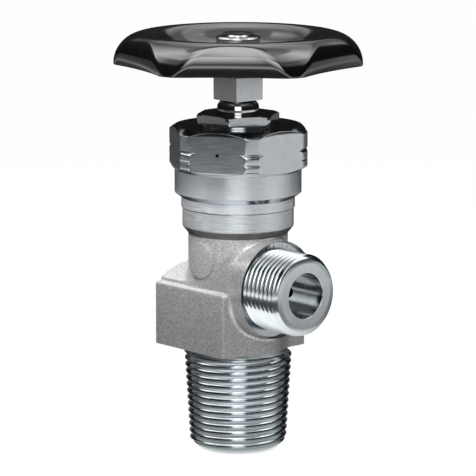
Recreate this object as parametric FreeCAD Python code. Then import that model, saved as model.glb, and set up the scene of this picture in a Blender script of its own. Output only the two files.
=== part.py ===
# Gas cylinder valve, diaphragm type: taper-threaded stem, side outlet, hexagon bonnet and handwheel.
# Millimetres. Z runs up the spindle, the outlet points along +X, and Z is 0 at the stem's flat end.
# The valve is drawn closed: the seat disc rests on the nozzle and the spindle is screwed down.

import FreeCAD
import Part
import math
import os

V = FreeCAD.Vector
UP = V(0, 0, 1)

# General fits
running_gap = 0.05
seat_gap = 0.02
thread_gap = 0.05

# Stem: 28.8 mm cylinder thread, taper 3 in 25 on the diameter
stem_thread_radius = 14.4
stem_thread_length = 26.0
stem_taper = 3 / 25
stem_chamfer = 2.25
stem_relief_length = 1.3
stem_relief_depth = 1.2

# Forged block with its two wrench pads
pads_across = 29.34
pad_height = 17.0
block_across = 25.6
block_shoulder = 17.9
block_arch_rise = 3.6
block_back = 16.9
block_front = 10.7
edge_round = 0.9

# Neck above the block, and the machined head that takes the bonnet
neck_wall = 2.25
neck_height = 30.9
head_lip = 1.55
head_flare = 1.9
head_height = 5.1

# Bare round medallion on the neck's left side
medal_radius = 4.8
medal_proud = 0.85
medal_rise = 24.8

# Outlet: boss, 21.8 mm thread, counterbore and gas hole
outlet_rise = 17.37
boss_radius = 13.0
boss_reach = 15.9
boss_dish = 2.1
outlet_thread_radius = 10.9
outlet_relief_depth = 0.9
outlet_reach = 26.6
outlet_chamfer_length = 1.0
outlet_chamfer_depth = 2.35
outlet_bore_radius = 5.925
outlet_bore_depth = 6.4
gas_hole_radius = 1.4

# Gas way up the stem and the seat nozzle
inlet_bore_radius = 4.0
inlet_bore_depth = 30.0
nozzle_bore_radius = 2.5
nozzle_wall = 1.1
nozzle_height = 1.8
chamber_radius = 7.0
chamber_drop = 4.67
chamber_height = 12.0

# Diaphragms, the ledge they lie on and the ring that clamps them
ledge_width = 3.3
diaphragm_sheet = 0.25
diaphragm_dish = 0.6
diaphragm_slope_inside = 1.6
diaphragm_slope_outside = 0.2
diaphragm_rim_gap = 0.3
thread_step = 0.7
clamp_ring_height = 3.25
clamp_ring_overhang = 0.4
clamp_ring_lead = 0.4

# Poppet, its seat disc and its spring
seat_radius = 4.2
seat_thickness = 2.5
seat_proud = 0.3
poppet_wall = 0.7
poppet_flange_gap = 0.7
poppet_flange = 1.2
spring_wire_radius = 0.6
spring_turns = 4.5
spring_flange_gap = 0.05

# Thrust pad and ball between the diaphragms and the spindle
pad_thrust_height = 4.15
ball_radius = 2.0
ball_socket = 1.3
thrust_space = 1.3

# Bonnet nut: spigot, ring, collar and hexagon
bonnet_ring_radius = 15.1
bonnet_ring_height = 2.7
collar_radius = 16.85
collar_height = 7.5
collar_chamfer = 1.3
collar_lead = 1.8
hex_across = 34.2
hex_corner_radius = 18.8
hex_height = 11.6
hex_chamfer = 1.4
hex_foot_chamfer = 1.1
hex_top_inset = 2.0
mark_groove_height = 5.75
mark_groove_width = 1.0
mark_groove_depth = 0.5
fine_groove_height = 3.1
fine_groove_width = 0.35
fine_groove_depth = 0.2
vent_radius = 0.45
vent_height = 5.6
vent_angle = -60.0
leak_groove_depth = 0.9
leak_groove_width = 2.0
spigot_room = 0.6
spigot_room_height = 7.0

# Gland parts in the bonnet's top
gland_pocket_radius = 8.5
gland_pocket_depth = 4.0
slip_washer_thickness = 1.0
gland_washer_radius = 10.6
gland_washer_thickness = 0.6
gland_hex_across = 20.0
gland_hex_corner_radius = 11.3
gland_hex_height = 2.5
gland_hex_chamfer = 0.33
gland_hex_turn = 5.0
ring_section_radius = 0.85

# Spindle
spindle_thread_radius = 7.0
spindle_travel = 1.25
stop_space = 0.05
spindle_pilot_length = 3.9
shank_radius = 5.6
shank_stand = 3.5
shank_round = 3.0
shank_round_height = 2.2
tail_square = 6.4
tail_corner_radius = 4.3
stud_radius = 3.0
stud_proud = 0.4
stud_chamfer = 0.4

# Square sleeve between the spindle and the handwheel
sleeve_across = 9.25
sleeve_corner_radius = 6.44
sleeve_height = 10.8
sleeve_top_room = 0.2
sleeve_chamfer = 0.25

# Handwheel
rim_ring_radius = 24.8
rim_tube_radius = 8.1
rim_cut = 0.4
bowl_slope = 45.0
web_thickness = 1.8
wheel_web_height = 3.3
flat_count = 6
flat_turn = -45.0
flat_reach = 29.1
flat_rise = 3.85
flat_bulge_room = 0.9
flat_hollow_radius = 86.0
hub_wall = 2.2
hub_drop = 2.7
rim_core_inner = 20.0
rim_core_outer = 26.0
rim_core_depth = 4.2

# Fastening on top of the wheel
hub_washer_radius = 6.4
hub_washer_thickness = 0.6
spring_washer_radius = 5.2
spring_washer_thickness = 0.7
spring_washer_slot = 0.8
wheel_nut_radius = 5.94
wheel_nut_height = 3.0
wheel_nut_chamfer = 0.45

# Levels on the axis, each worked out from the one below it
block_base = stem_thread_length + stem_relief_length
outlet_level = block_base + outlet_rise
medal_level = block_base + medal_rise
neck_top = block_base + neck_height
head_base = neck_top + head_flare
head_top = head_base + head_height
chamber_floor = outlet_level - chamber_drop
nozzle_top = chamber_floor + nozzle_height
diaphragm_level = chamber_floor + chamber_height
stack_height = 3 * diaphragm_sheet
clamp_base = diaphragm_level + stack_height
clamp_top = clamp_base + clamp_ring_height
poppet_top = diaphragm_level - diaphragm_dish
thrust_base = poppet_top + stack_height
thrust_top = thrust_base + pad_thrust_height
ball_base = thrust_top - ball_socket + seat_gap
ball_top = ball_base + 2 * ball_radius
spindle_base = thrust_top + thrust_space
collar_base = head_top + bonnet_ring_height
hex_base = collar_base + collar_height
hex_top = hex_base + hex_height
gland_pocket_floor = hex_top - gland_pocket_depth
slip_washer_top = gland_pocket_floor + slip_washer_thickness
gland_seat = hex_top + gland_washer_thickness
gland_top = gland_seat + gland_hex_height
spindle_thread_top = gland_pocket_floor - spindle_travel - stop_space
shank_top = gland_top + shank_stand
sleeve_top = shank_top + sleeve_height
bowl_floor = sleeve_top + web_thickness
wheel_base = bowl_floor - wheel_web_height
rim_level = wheel_base + rim_cut
flat_level = wheel_base + flat_rise
hub_washer_top = bowl_floor + hub_washer_thickness
nut_base = hub_washer_top + spring_washer_thickness
nut_top = nut_base + wheel_nut_height
stud_top = nut_top + stud_proud

# Radii that follow from the ones above
stem_tip_radius = stem_thread_radius - stem_thread_length * stem_taper / 2
pocket_radius = chamber_radius + ledge_width
top_thread_radius = pocket_radius + thread_step
neck_radius = top_thread_radius + neck_wall
head_radius = neck_radius + head_lip
diaphragm_radius = pocket_radius - diaphragm_rim_gap
diaphragm_flat_radius = chamber_radius - diaphragm_slope_inside
diaphragm_bend_radius = chamber_radius - diaphragm_slope_outside
nozzle_radius = nozzle_bore_radius + nozzle_wall
poppet_radius = seat_radius + poppet_wall
poppet_flange_radius = chamber_radius - poppet_flange_gap
spring_radius = (poppet_radius + chamber_radius) / 2
bonnet_bore_radius = spindle_thread_radius + running_gap
hub_radius = sleeve_corner_radius + hub_wall
flat_bulge_radius = rim_tube_radius + flat_bulge_room


def cylinder(radius, low, high):
    """A disc about the Z axis between two levels."""
    return Part.makeCylinder(radius, high - low, V(0, 0, low), UP)


def turned(start, *steps):
    """Revolve a closed outline of (radius, height) points about the Z axis.
    A step is a point for a straight side, or a pair of points for an arc through the first."""
    edges = []
    here = V(start[0], 0, start[1])
    first = here
    for step in steps:
        if isinstance(step[0], tuple):
            middle = V(step[0][0], 0, step[0][1])
            there = V(step[1][0], 0, step[1][1])
            edges.append(Part.Arc(here, middle, there).toShape())
        else:
            there = V(step[0], 0, step[1])
            edges.append(Part.makeLine(here, there))
        here = there
    edges.append(Part.makeLine(here, first))
    return Part.Face(Part.Wire(edges)).revolve(V(0, 0, 0), UP, 360)


def prism(sides, across, low, high, turn):
    """A regular prism with one face's normal at the angle turn."""
    corner = across / 2 / math.cos(math.pi / sides)
    points = []
    for number in range(sides + 1):
        angle = math.radians(turn) + math.pi * (2 * number + 1) / sides
        points.append(V(corner * math.cos(angle), corner * math.sin(angle), low))
    return Part.Face(Part.makePolygon(points)).extrude(V(0, 0, high - low))


def tube(inner, outer, low, high):
    """A plain ring between two levels."""
    return turned((inner, low), (outer, low), (outer, high), (inner, high))


def rounded_block(half_width, height):
    """One slab of the forged block, with its upright and top edges rounded."""
    size = V(block_back + block_front, 2 * half_width, height)
    slab = Part.makeBox(size.x, size.y, size.z, V(-block_back, -half_width, block_base))
    middle = block_base + height / 2
    edges = [edge for edge in slab.Edges if edge.CenterOfMass.z > middle - 0.1]
    return slab.makeFillet(edge_round, edges)


def arched_block():
    """The narrower main slab, whose top is arched from side to side."""
    half = block_across / 2
    low = block_base
    side = block_base + block_shoulder
    crown = side + block_arch_rise
    left = V(-block_back, -half, side)
    right = V(-block_back, half, side)
    outline = [
        Part.makeLine(V(-block_back, -half, low), V(-block_back, half, low)),
        Part.makeLine(V(-block_back, half, low), right),
        Part.Arc(right, V(-block_back, 0, crown), left).toShape(),
        Part.makeLine(left, V(-block_back, -half, low)),
    ]
    slab = Part.Face(Part.Wire(outline)).extrude(V(block_back + block_front, 0, 0))
    ends = (-block_back, block_front)
    edges = [edge for edge in slab.Edges if min(abs(edge.CenterOfMass.x - end) for end in ends) < 0.1
             and edge.CenterOfMass.z > low + 0.1]
    return slab.makeFillet(edge_round, edges)


def stem():
    """The taper stem with its chamfered tip and the relief under the block."""
    chamfer_radius = stem_tip_radius + stem_chamfer * stem_taper / 2
    relief = stem_thread_radius - stem_relief_depth
    return turned((0, 0), (chamfer_radius - stem_chamfer, 0), (chamfer_radius, stem_chamfer),
                  (stem_thread_radius, stem_thread_length), (relief, stem_thread_length),
                  (relief, block_base), (0, block_base))


def neck_and_head():
    """The round neck, from the block's base to the flat that the bonnet seats on."""
    return turned((0, block_base), (neck_radius, block_base), (neck_radius, neck_top),
                  (head_radius, head_base), (head_radius, head_top), (0, head_top))


def outlet_boss():
    """The outlet's boss, dished round the thread's relief groove, turned upright and laid over along +X."""
    chamfer_start = outlet_reach - outlet_chamfer_length
    relief = outlet_thread_radius - outlet_relief_depth
    floor = boss_reach - boss_dish
    shape = turned((0, 0), (boss_radius, 0), (boss_radius, boss_reach),
                   (outlet_thread_radius, floor), (relief, floor), (relief, boss_reach),
                   (outlet_thread_radius, boss_reach), (outlet_thread_radius, chamfer_start),
                   (outlet_thread_radius - outlet_chamfer_depth, outlet_reach), (0, outlet_reach))
    shape.rotate(V(0, 0, 0), V(0, 1, 0), 90)
    shape.translate(V(0, 0, outlet_level))
    return shape


def medallion():
    """The bare round badge place, raised from the neck's left side and curved like the neck."""
    face = neck_radius + medal_proud
    disc = Part.makeCylinder(medal_radius, face, V(0, 0, medal_level), V(0, -1, 0))
    return disc.common(cylinder(face, block_base, neck_top))


def gas_way():
    """Everything that is bored out of the body."""
    drill_cone = inlet_bore_radius - nozzle_bore_radius
    thread_floor = clamp_top - clamp_ring_overhang
    core = turned((0, -1), (inlet_bore_radius, -1), (inlet_bore_radius, inlet_bore_depth),
                  (nozzle_bore_radius, inlet_bore_depth + drill_cone), (nozzle_bore_radius, nozzle_top),
                  (nozzle_radius, nozzle_top), (nozzle_radius, chamber_floor),
                  (chamber_radius, chamber_floor), (chamber_radius, diaphragm_level),
                  (pocket_radius, diaphragm_level), (pocket_radius, thread_floor),
                  (top_thread_radius, thread_floor), (top_thread_radius, head_top + 1), (0, head_top + 1))
    bore_floor = outlet_reach - outlet_bore_depth
    along = V(1, 0, 0)
    bore = Part.makeCylinder(outlet_bore_radius, outlet_bore_depth + 1, V(bore_floor, 0, outlet_level), along)
    hole_start = chamber_radius - 1
    hole_length = bore_floor - hole_start + 1
    hole = Part.makeCylinder(gas_hole_radius, hole_length, V(hole_start, 0, outlet_level), along)
    return core.fuse([bore, hole])


def valve_body():
    pads = rounded_block(pads_across / 2, pad_height)
    solid = pads.fuse([arched_block(), stem(), neck_and_head(), outlet_boss(), medallion()])
    return solid.cut(gas_way()).removeSplitter()


def diaphragm(number):
    """One thin steel disc, dished down in the middle by the closed spindle."""
    low = diaphragm_level + number * diaphragm_sheet
    sunk = low - diaphragm_dish
    sheet = diaphragm_sheet
    return turned((0, sunk), (diaphragm_flat_radius, sunk), (diaphragm_bend_radius, low),
                  (diaphragm_radius, low), (diaphragm_radius, low + sheet),
                  (diaphragm_bend_radius, low + sheet), (diaphragm_flat_radius, sunk + sheet),
                  (0, sunk + sheet))


def clamp_ring():
    """The ring that the bonnet presses on the diaphragms' rims; its bore guides the thrust pad."""
    outer = pocket_radius - running_gap
    lead = clamp_ring_lead
    return turned((chamber_radius, clamp_base + lead), (chamber_radius + lead, clamp_base),
                  (outer, clamp_base), (outer, clamp_top), (chamber_radius, clamp_top))


def poppet():
    """The seat holder: a cup for the seat disc, a plain body and a flange under the diaphragms."""
    low = nozzle_top + seat_proud
    cup_top = nozzle_top + seat_thickness
    flange_base = poppet_top - poppet_flange
    return turned((0, cup_top), (seat_radius + seat_gap, cup_top), (seat_radius + seat_gap, low),
                  (poppet_radius, low), (poppet_radius, flange_base),
                  (poppet_flange_radius, flange_base), (poppet_flange_radius, poppet_top - 0.4),
                  (diaphragm_flat_radius, poppet_top), (0, poppet_top))


def seat_insert():
    return cylinder(seat_radius, nozzle_top, nozzle_top + seat_thickness)


def poppet_spring():
    """The coil spring that lifts the poppet off its nozzle."""
    low = chamber_floor + spring_wire_radius + spring_flange_gap
    high = poppet_top - poppet_flange - spring_wire_radius - spring_flange_gap
    pitch = (high - low) / spring_turns
    path = Part.makeHelix(pitch, high - low, spring_radius)
    path.translate(V(0, 0, low))
    section = Part.makeCircle(spring_wire_radius, V(spring_radius, 0, low), V(0, 1, 0))
    return Part.Wire(path.Edges).makePipeShell([Part.Wire(section)], True, True)


def thrust_pad():
    """The button that carries the spindle's push to the diaphragms, with a socket for the ball."""
    guide = chamber_radius - running_gap
    shoulder = clamp_base + 2 * diaphragm_sheet
    socket = ball_radius + running_gap
    socket_floor = thrust_top - ball_socket
    return turned((0, thrust_base), (diaphragm_flat_radius, thrust_base), (guide, shoulder),
                  (guide, thrust_top), (socket, thrust_top), (socket, socket_floor), (0, socket_floor))


def thrust_ball():
    return Part.makeSphere(ball_radius, V(0, 0, ball_base + ball_radius))


def bonnet_blank():
    """The bonnet's turned outline, with the chamfers and marking grooves of its hexagon's corners."""
    spigot = top_thread_radius - thread_gap
    foot = collar_radius - collar_lead
    corner = hex_corner_radius
    fine = hex_base + fine_groove_height
    mark = hex_base + mark_groove_height
    fine_half = fine_groove_width / 2
    mark_half = mark_groove_width / 2
    return turned((0, clamp_top), (spigot, clamp_top), (spigot, head_top), (bonnet_ring_radius, head_top),
                  (bonnet_ring_radius, collar_base), (foot, collar_base),
                  (collar_radius, collar_base + collar_chamfer), (collar_radius, hex_base),
                  (corner, hex_base + hex_foot_chamfer),
                  (corner, fine - fine_half), (corner - fine_groove_depth, fine), (corner, fine + fine_half),
                  (corner, mark - mark_half), (corner - mark_groove_depth, mark), (corner, mark + mark_half),
                  (corner, hex_top - hex_chamfer), (corner - hex_top_inset, hex_top), (0, hex_top))


def bonnet_bore():
    """The bonnet's inside: room over the ring, spindle thread, leak groove and gland pocket."""
    room = bonnet_bore_radius + spigot_room
    room_top = clamp_top + spigot_room_height
    vent_level = hex_base + vent_height
    groove = bonnet_bore_radius + leak_groove_depth
    low = vent_level - leak_groove_width / 2
    high = vent_level + leak_groove_width / 2
    return turned((0, clamp_top - 1), (room, clamp_top - 1), (room, room_top),
                  (bonnet_bore_radius, room_top + spigot_room), (bonnet_bore_radius, low),
                  (groove, low), (groove, high), (bonnet_bore_radius, high),
                  (bonnet_bore_radius, gland_pocket_floor), (gland_pocket_radius, gland_pocket_floor),
                  (gland_pocket_radius, hex_top + 1), (0, hex_top + 1))


def bonnet_nut():
    """The bonnet, turned from hexagon bar, with the telltale vent hole in one face."""
    lower = cylinder(hex_corner_radius + 1, clamp_top, hex_base)
    upper = prism(6, hex_across, hex_base, hex_top, 0)
    stock = lower.fuse(upper)
    shape = bonnet_blank().common(stock).cut(bonnet_bore())
    angle = math.radians(vent_angle)
    outward = V(math.cos(angle), math.sin(angle), 0)
    start = outward * bonnet_bore_radius + V(0, 0, hex_base + vent_height)
    vent = Part.makeCylinder(vent_radius, hex_corner_radius, start, outward)
    return shape.cut(vent)


def slip_washer():
    return tube(shank_radius + running_gap, gland_pocket_radius - thread_gap,
                gland_pocket_floor, slip_washer_top)


def gland_washer():
    return tube(gland_pocket_radius + thread_gap, gland_washer_radius, hex_top, gland_seat)


def gland_nut():
    """The thin hexagon nut whose threaded spigot holds the slip washer and the shank's seal."""
    bore = shank_radius + running_gap
    spigot = gland_pocket_radius - thread_gap
    corner = gland_hex_corner_radius
    blank = turned((bore, slip_washer_top), (spigot, slip_washer_top), (spigot, gland_seat),
                   (corner, gland_seat), (corner, gland_top - gland_hex_chamfer),
                   (corner - 2 * gland_hex_chamfer, gland_top), (bore, gland_top))
    stock = cylinder(spigot, slip_washer_top, gland_seat)
    stock = stock.fuse(prism(6, gland_hex_across, gland_seat, gland_top, gland_hex_turn + 30))
    groove_half = ring_section_radius + seat_gap
    middle = (slip_washer_top + gland_top) / 2
    groove = tube(bore - 1, bore + 2 * groove_half, middle - groove_half, middle + groove_half)
    return blank.common(stock).cut(groove)


def shank_o_ring():
    middle = (slip_washer_top + gland_top) / 2
    radius = shank_radius + running_gap + ring_section_radius
    return Part.makeTorus(radius, ring_section_radius, V(0, 0, middle))


def spindle():
    """The spindle: ball socket, pilot, thread, polished shank, square tail and stud."""
    socket = ball_radius + running_gap
    tail_top = sleeve_top - sleeve_top_room
    round_start = shank_top - shank_round_height
    round_centre = shank_radius - shank_round
    half_rise = shank_round_height / 2
    middle = (round_centre + math.sqrt(shank_round ** 2 - half_rise ** 2), round_start + half_rise)
    shoulder = (round_centre + math.sqrt(shank_round ** 2 - shank_round_height ** 2), shank_top)
    pilot = shank_radius
    thread_base = spindle_base + spindle_pilot_length
    lower = turned((0, ball_top + seat_gap), (socket, ball_top + seat_gap), (socket, spindle_base),
                   (pilot, spindle_base), (pilot, thread_base), (spindle_thread_radius, thread_base),
                   (spindle_thread_radius, spindle_thread_top), (shank_radius, spindle_thread_top),
                   (shank_radius, round_start), (middle, shoulder), (0, shank_top))
    square = prism(4, tail_square, shank_top - 1, tail_top, 0)
    square = square.common(cylinder(tail_corner_radius, shank_top - 1, tail_top))
    stud = turned((0, tail_top - 1), (stud_radius, tail_top - 1), (stud_radius, stud_top - stud_chamfer),
                  (stud_radius - stud_chamfer, stud_top), (0, stud_top))
    return lower.fuse([square, stud]).removeSplitter()


def square_sleeve():
    """The square bush that carries the wheel on the spindle's smaller square."""
    blank = prism(4, sleeve_across, shank_top, sleeve_top, 0)
    corner = sleeve_corner_radius
    turned_corners = turned((0, shank_top), (corner - sleeve_chamfer, shank_top),
                            (corner, shank_top + sleeve_chamfer), (corner, sleeve_top), (0, sleeve_top))
    hole = prism(4, tail_square + 2 * running_gap, shank_top - 1, sleeve_top + 1, 0)
    return blank.common(turned_corners).cut(hole)


def wheel_blank():
    """The wheel's turned form: round rim, dished bowl, flat web and a hub below."""
    slope = math.radians(bowl_slope)
    crown = (rim_ring_radius, rim_level + rim_tube_radius)
    outer = rim_ring_radius + math.sqrt(rim_tube_radius ** 2 - rim_cut ** 2)
    outer_middle = (rim_ring_radius + rim_tube_radius * math.cos(math.radians(40)),
                    rim_level + rim_tube_radius * math.sin(math.radians(40)))
    inner_middle = (rim_ring_radius - rim_tube_radius * math.sin(slope / 2),
                    rim_level + rim_tube_radius * math.cos(slope / 2))
    lip = (rim_ring_radius - rim_tube_radius * math.sin(slope),
           rim_level + rim_tube_radius * math.cos(slope))
    blend = (lip[1] - bowl_floor) / (1 - math.cos(slope))
    floor_edge = lip[0] - blend * math.sin(slope)
    blend_middle = (floor_edge + blend * math.sin(slope / 2), bowl_floor + blend * (1 - math.cos(slope / 2)))
    core_top = wheel_base + rim_core_depth
    hub_base = wheel_base - hub_drop
    return turned((0, hub_base), (hub_radius, hub_base), (hub_radius, wheel_base),
                  (rim_core_inner, wheel_base), (rim_core_inner, core_top), (rim_core_outer, core_top),
                  (rim_core_outer, wheel_base), (outer, wheel_base), (outer_middle, crown),
                  (inner_middle, lip), (blend_middle, (floor_edge, bowl_floor)), (0, bowl_floor))


def grip_flat(angle):
    """The spool that cuts one of the rim's flats: slightly hollow round the wheel, bulged in height."""
    half = rim_tube_radius
    bulge_drop = flat_bulge_radius - math.sqrt(flat_bulge_radius ** 2 - half ** 2)
    end = flat_hollow_radius + bulge_drop
    spool = turned((0, flat_level - half), (end, flat_level - half),
                   ((flat_hollow_radius, flat_level), (end, flat_level + half)), (0, flat_level + half))
    spool.translate(V(flat_reach + flat_hollow_radius, 0, 0))
    spool.rotate(V(0, 0, 0), UP, angle)
    return spool


def handwheel():
    """The moulded wheel with its six grip flats and a square socket for the sleeve."""
    shape = wheel_blank()
    for number in range(flat_count):
        shape = shape.cut(grip_flat(flat_turn + number * 360 / flat_count))
    socket = prism(4, sleeve_across + 2 * running_gap, wheel_base - hub_drop - 1, sleeve_top, 0)
    hole = cylinder(stud_radius + running_gap, sleeve_top - 1, bowl_floor + 1)
    return shape.cut(socket).cut(hole)


def hub_washer():
    return tube(stud_radius + running_gap, hub_washer_radius, bowl_floor, hub_washer_top)


def spring_washer():
    """A split lock washer; the slot is cut on the slant."""
    ring = tube(stud_radius + running_gap, spring_washer_radius, hub_washer_top, nut_base)
    slot = Part.makeBox(spring_washer_radius * 2, spring_washer_slot, spring_washer_thickness * 4,
                        V(0, -spring_washer_slot / 2, -spring_washer_thickness * 2))
    slot.rotate(V(0, 0, 0), V(1, 0, 0), 20)
    slot.translate(V(0, 0, hub_washer_top + spring_washer_thickness / 2))
    slot.rotate(V(0, 0, 0), UP, 110)
    return ring.cut(slot)


def wheel_nut():
    """The plain round nut that holds the wheel down."""
    bore = stud_radius + thread_gap
    edge = wheel_nut_chamfer
    return turned((bore, nut_base), (wheel_nut_radius, nut_base), (wheel_nut_radius, nut_top - edge),
                  (wheel_nut_radius - edge, nut_top), (bore, nut_top))


def main():
    os.makedirs("parts", exist_ok=True)
    pieces = {
        "valve_body": valve_body(),
        "lower_diaphragm": diaphragm(0),
        "middle_diaphragm": diaphragm(1),
        "upper_diaphragm": diaphragm(2),
        "clamp_ring": clamp_ring(),
        "poppet": poppet(),
        "seat_insert": seat_insert(),
        "poppet_spring": poppet_spring(),
        "thrust_pad": thrust_pad(),
        "thrust_ball": thrust_ball(),
        "bonnet_nut": bonnet_nut(),
        "slip_washer": slip_washer(),
        "gland_washer": gland_washer(),
        "gland_nut": gland_nut(),
        "shank_o_ring": shank_o_ring(),
        "spindle": spindle(),
        "square_sleeve": square_sleeve(),
        "handwheel": handwheel(),
        "hub_washer": hub_washer(),
        "spring_washer": spring_washer(),
        "wheel_nut": wheel_nut(),
    }
    for name, shape in pieces.items():
        shape.exportStep(f"parts/{name}.step")
        print(name, shape.ShapeType, shape.isValid(), len(shape.Solids), round(shape.Volume, 1))


main()
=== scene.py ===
# %% [markdown]
# # A gas cylinder valve
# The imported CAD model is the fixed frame: every piece below sits where its CAD node sits, and rides on the
# body that the node rides on. This lesson dresses the frame with finer meshes and with finishes.
# Lengths in the cells are in millimetres, as on a workshop drawing, and turn into metres only in the mesh.

# %% Load the frame
import math

import bmesh
import bpy
import numpy as np
from mathutils import Matrix, Vector


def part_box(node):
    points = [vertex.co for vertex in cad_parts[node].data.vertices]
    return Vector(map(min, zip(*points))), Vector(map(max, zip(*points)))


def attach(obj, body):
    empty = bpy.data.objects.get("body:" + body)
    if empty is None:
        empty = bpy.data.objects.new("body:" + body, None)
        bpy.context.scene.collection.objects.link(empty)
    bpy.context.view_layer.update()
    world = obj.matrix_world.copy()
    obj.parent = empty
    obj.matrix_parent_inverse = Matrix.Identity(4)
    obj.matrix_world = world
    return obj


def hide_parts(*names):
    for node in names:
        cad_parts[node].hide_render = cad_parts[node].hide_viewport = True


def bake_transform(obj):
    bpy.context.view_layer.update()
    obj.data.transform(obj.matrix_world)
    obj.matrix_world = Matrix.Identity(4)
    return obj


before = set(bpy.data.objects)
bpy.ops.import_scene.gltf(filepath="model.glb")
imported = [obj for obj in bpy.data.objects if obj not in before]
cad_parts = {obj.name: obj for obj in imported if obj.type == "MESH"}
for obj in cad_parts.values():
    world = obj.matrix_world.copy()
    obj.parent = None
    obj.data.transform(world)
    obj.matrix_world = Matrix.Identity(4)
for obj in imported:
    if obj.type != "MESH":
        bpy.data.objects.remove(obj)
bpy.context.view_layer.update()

MM = 0.001


# %% [markdown]
# ## Measures from the frame
# The CAD gives the box of every node, so heights and widths are read from it, not typed again.
# A box can't tell an inner step, so those few sizes are named here as on the drawing.

# %% Read the levels
def span(node):
    """A node's lowest and highest corners in millimetres."""
    low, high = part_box(node)
    return low / MM, high / MM


body_high = span("valve_body")[1]
bonnet_low, bonnet_high = span("bonnet_nut")
gland_low, gland_high = span("gland_nut")
sleeve_low, sleeve_high = span("square_sleeve")
wheel_low, wheel_high = span("handwheel")
nut_low, nut_high = span("wheel_nut")
spindle_low, spindle_high = span("spindle")
head_top = body_high.z
hex_top = bonnet_high.z
shank_top = sleeve_low.z
gland_base = span("gland_washer")[1].z
bowl_floor = span("hub_washer")[0].z
print("head", round(head_top, 2), "hexagon", round(hex_top, 2), "crown", round(wheel_high.z, 2))


# %% [markdown]
# ## Finishes
# Every finish is a small node tree. Metal is plated, so its colour is a pale grey and its look comes from
# how rough it is. A noise texture in object coordinates keeps the grain fixed to the piece at its true size.

# %% Node helpers
def add_node(tree, kind, **values):
    """Add a shader node, and set its named inputs or its own settings."""
    made = tree.nodes.new(kind)
    for key, value in values.items():
        label = key.replace("_", " ")
        if label in made.inputs:
            made.inputs[label].default_value = value
        else:
            setattr(made, key, value)
    return made


def blank_finish(name, **shader_values):
    """A material with one Principled shader, its uniform values set on the shader's own sockets."""
    finish = bpy.data.materials.new(name)
    finish.use_nodes = True
    shader = finish.node_tree.nodes["Principled BSDF"]
    for key, value in shader_values.items():
        label = key.replace("_", " ")
        if isinstance(value, tuple):
            value = (*value, 1.0)
        shader.inputs[label].default_value = value
    return finish, finish.node_tree, shader


print("node helpers ready")


# %% [markdown]
# ### Grain, tone and relief
# A real surface has a grain of some size, and that grain shows three ways: in the colour, in how sharp the
# reflection is, and in tiny hills. An image could hold it, but a noise needs no file and has no end. So one
# noise is made at a size in millimetres, and three small helpers lead it to the colour, roughness or relief.

# %% Grain, tone and relief helpers
def speckle(tree, size, detail=2.0, stretch=(1, 1, 1)):
    """A noise whose grains measure about size millimetres, squeezed along the axes by stretch."""
    place = add_node(tree, "ShaderNodeTexCoord")
    scale = add_node(tree, "ShaderNodeMapping")
    scale.inputs["Scale"].default_value = stretch
    noise = add_node(tree, "ShaderNodeTexNoise", Scale=1 / (size * MM), Detail=detail)
    tree.links.new(place.outputs["Object"], scale.inputs["Vector"])
    tree.links.new(scale.outputs["Vector"], noise.inputs["Vector"])
    return noise.outputs["Fac"]


def graded(tree, source, low, high, start=0.3, end=0.7):
    """Turn a number that runs from start to end into one that goes from low to high."""
    grade = add_node(tree, "ShaderNodeMapRange")
    grade.inputs["From Min"].default_value = start
    grade.inputs["From Max"].default_value = end
    grade.inputs["To Min"].default_value = low
    grade.inputs["To Max"].default_value = high
    tree.links.new(source, grade.inputs["Value"])
    return grade.outputs["Result"]


def tinted(tree, source, dark, pale, shader):
    """Turn a noise into a colour between two close tones."""
    ramp = add_node(tree, "ShaderNodeValToRGB")
    ramp.color_ramp.elements[0].position = 0.3
    ramp.color_ramp.elements[0].color = (*dark, 1)
    ramp.color_ramp.elements[1].position = 0.7
    ramp.color_ramp.elements[1].color = (*pale, 1)
    tree.links.new(source, ramp.inputs["Fac"])
    tree.links.new(ramp.outputs["Color"], shader.inputs["Base Color"])


def raised(tree, source, height, shader, strength=1.0):
    """Turn a noise into relief height millimetres deep."""
    bump = add_node(tree, "ShaderNodeBump", Strength=strength, Distance=height * MM)
    tree.links.new(source, bump.inputs["Height"])
    tree.links.new(bump.outputs["Normal"], shader.inputs["Normal"])


print("grain helpers ready")


# %% [markdown]
# ### Plated metal
# The turned pieces are plated steel and brass. Plating is a full metal, so nearly all that is seen on it is
# a reflection, and its two close tones only break the evenness up. The tool leaves faint lines round the
# axis, so the grain can be squeezed along one axis. One function makes the whole family.

# %% Plated finish
def plated(name, dark, pale, rough, grain, relief, stretch=(1, 1, 1), spread=0.05):
    """A plated metal: its tone, its roughness and the size and depth of its grain in millimetres."""
    finish, tree, shader = blank_finish(name, Metallic=1.0)
    cloud = speckle(tree, grain * 12, 3.0)
    tinted(tree, cloud, dark, pale, shader)
    fine = speckle(tree, grain, 2.0, stretch)
    tree.links.new(graded(tree, fine, rough - spread, rough + spread), shader.inputs["Roughness"])
    raised(tree, fine, relief, shader)
    return finish


print("plated finish ready")


# %% [markdown]
# ### Blasted forging
# The forging was shot blasted before it was plated. Its dimples scatter light, so it looks half like metal
# and half like a pale stone. Mixing two shaders would do that too, but the Metallic value of one shader is
# simpler. The dimples tint the colour a little and raise the surface a few hundredths of a millimetre.

# %% Blasted finish
def blasted(name, dark, pale, rough, grain, relief):
    """A forging after shot blasting: it scatters part of the light, and each dimple has its own tone."""
    finish, tree, shader = blank_finish(name, Metallic=0.5, Roughness=rough)
    dimples = speckle(tree, grain, 2.5)
    tinted(tree, dimples, dark, pale, shader)
    raised(tree, speckle(tree, grain * 1.4, 3.0), relief, shader)
    return finish


print("blasted finish ready")
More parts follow.
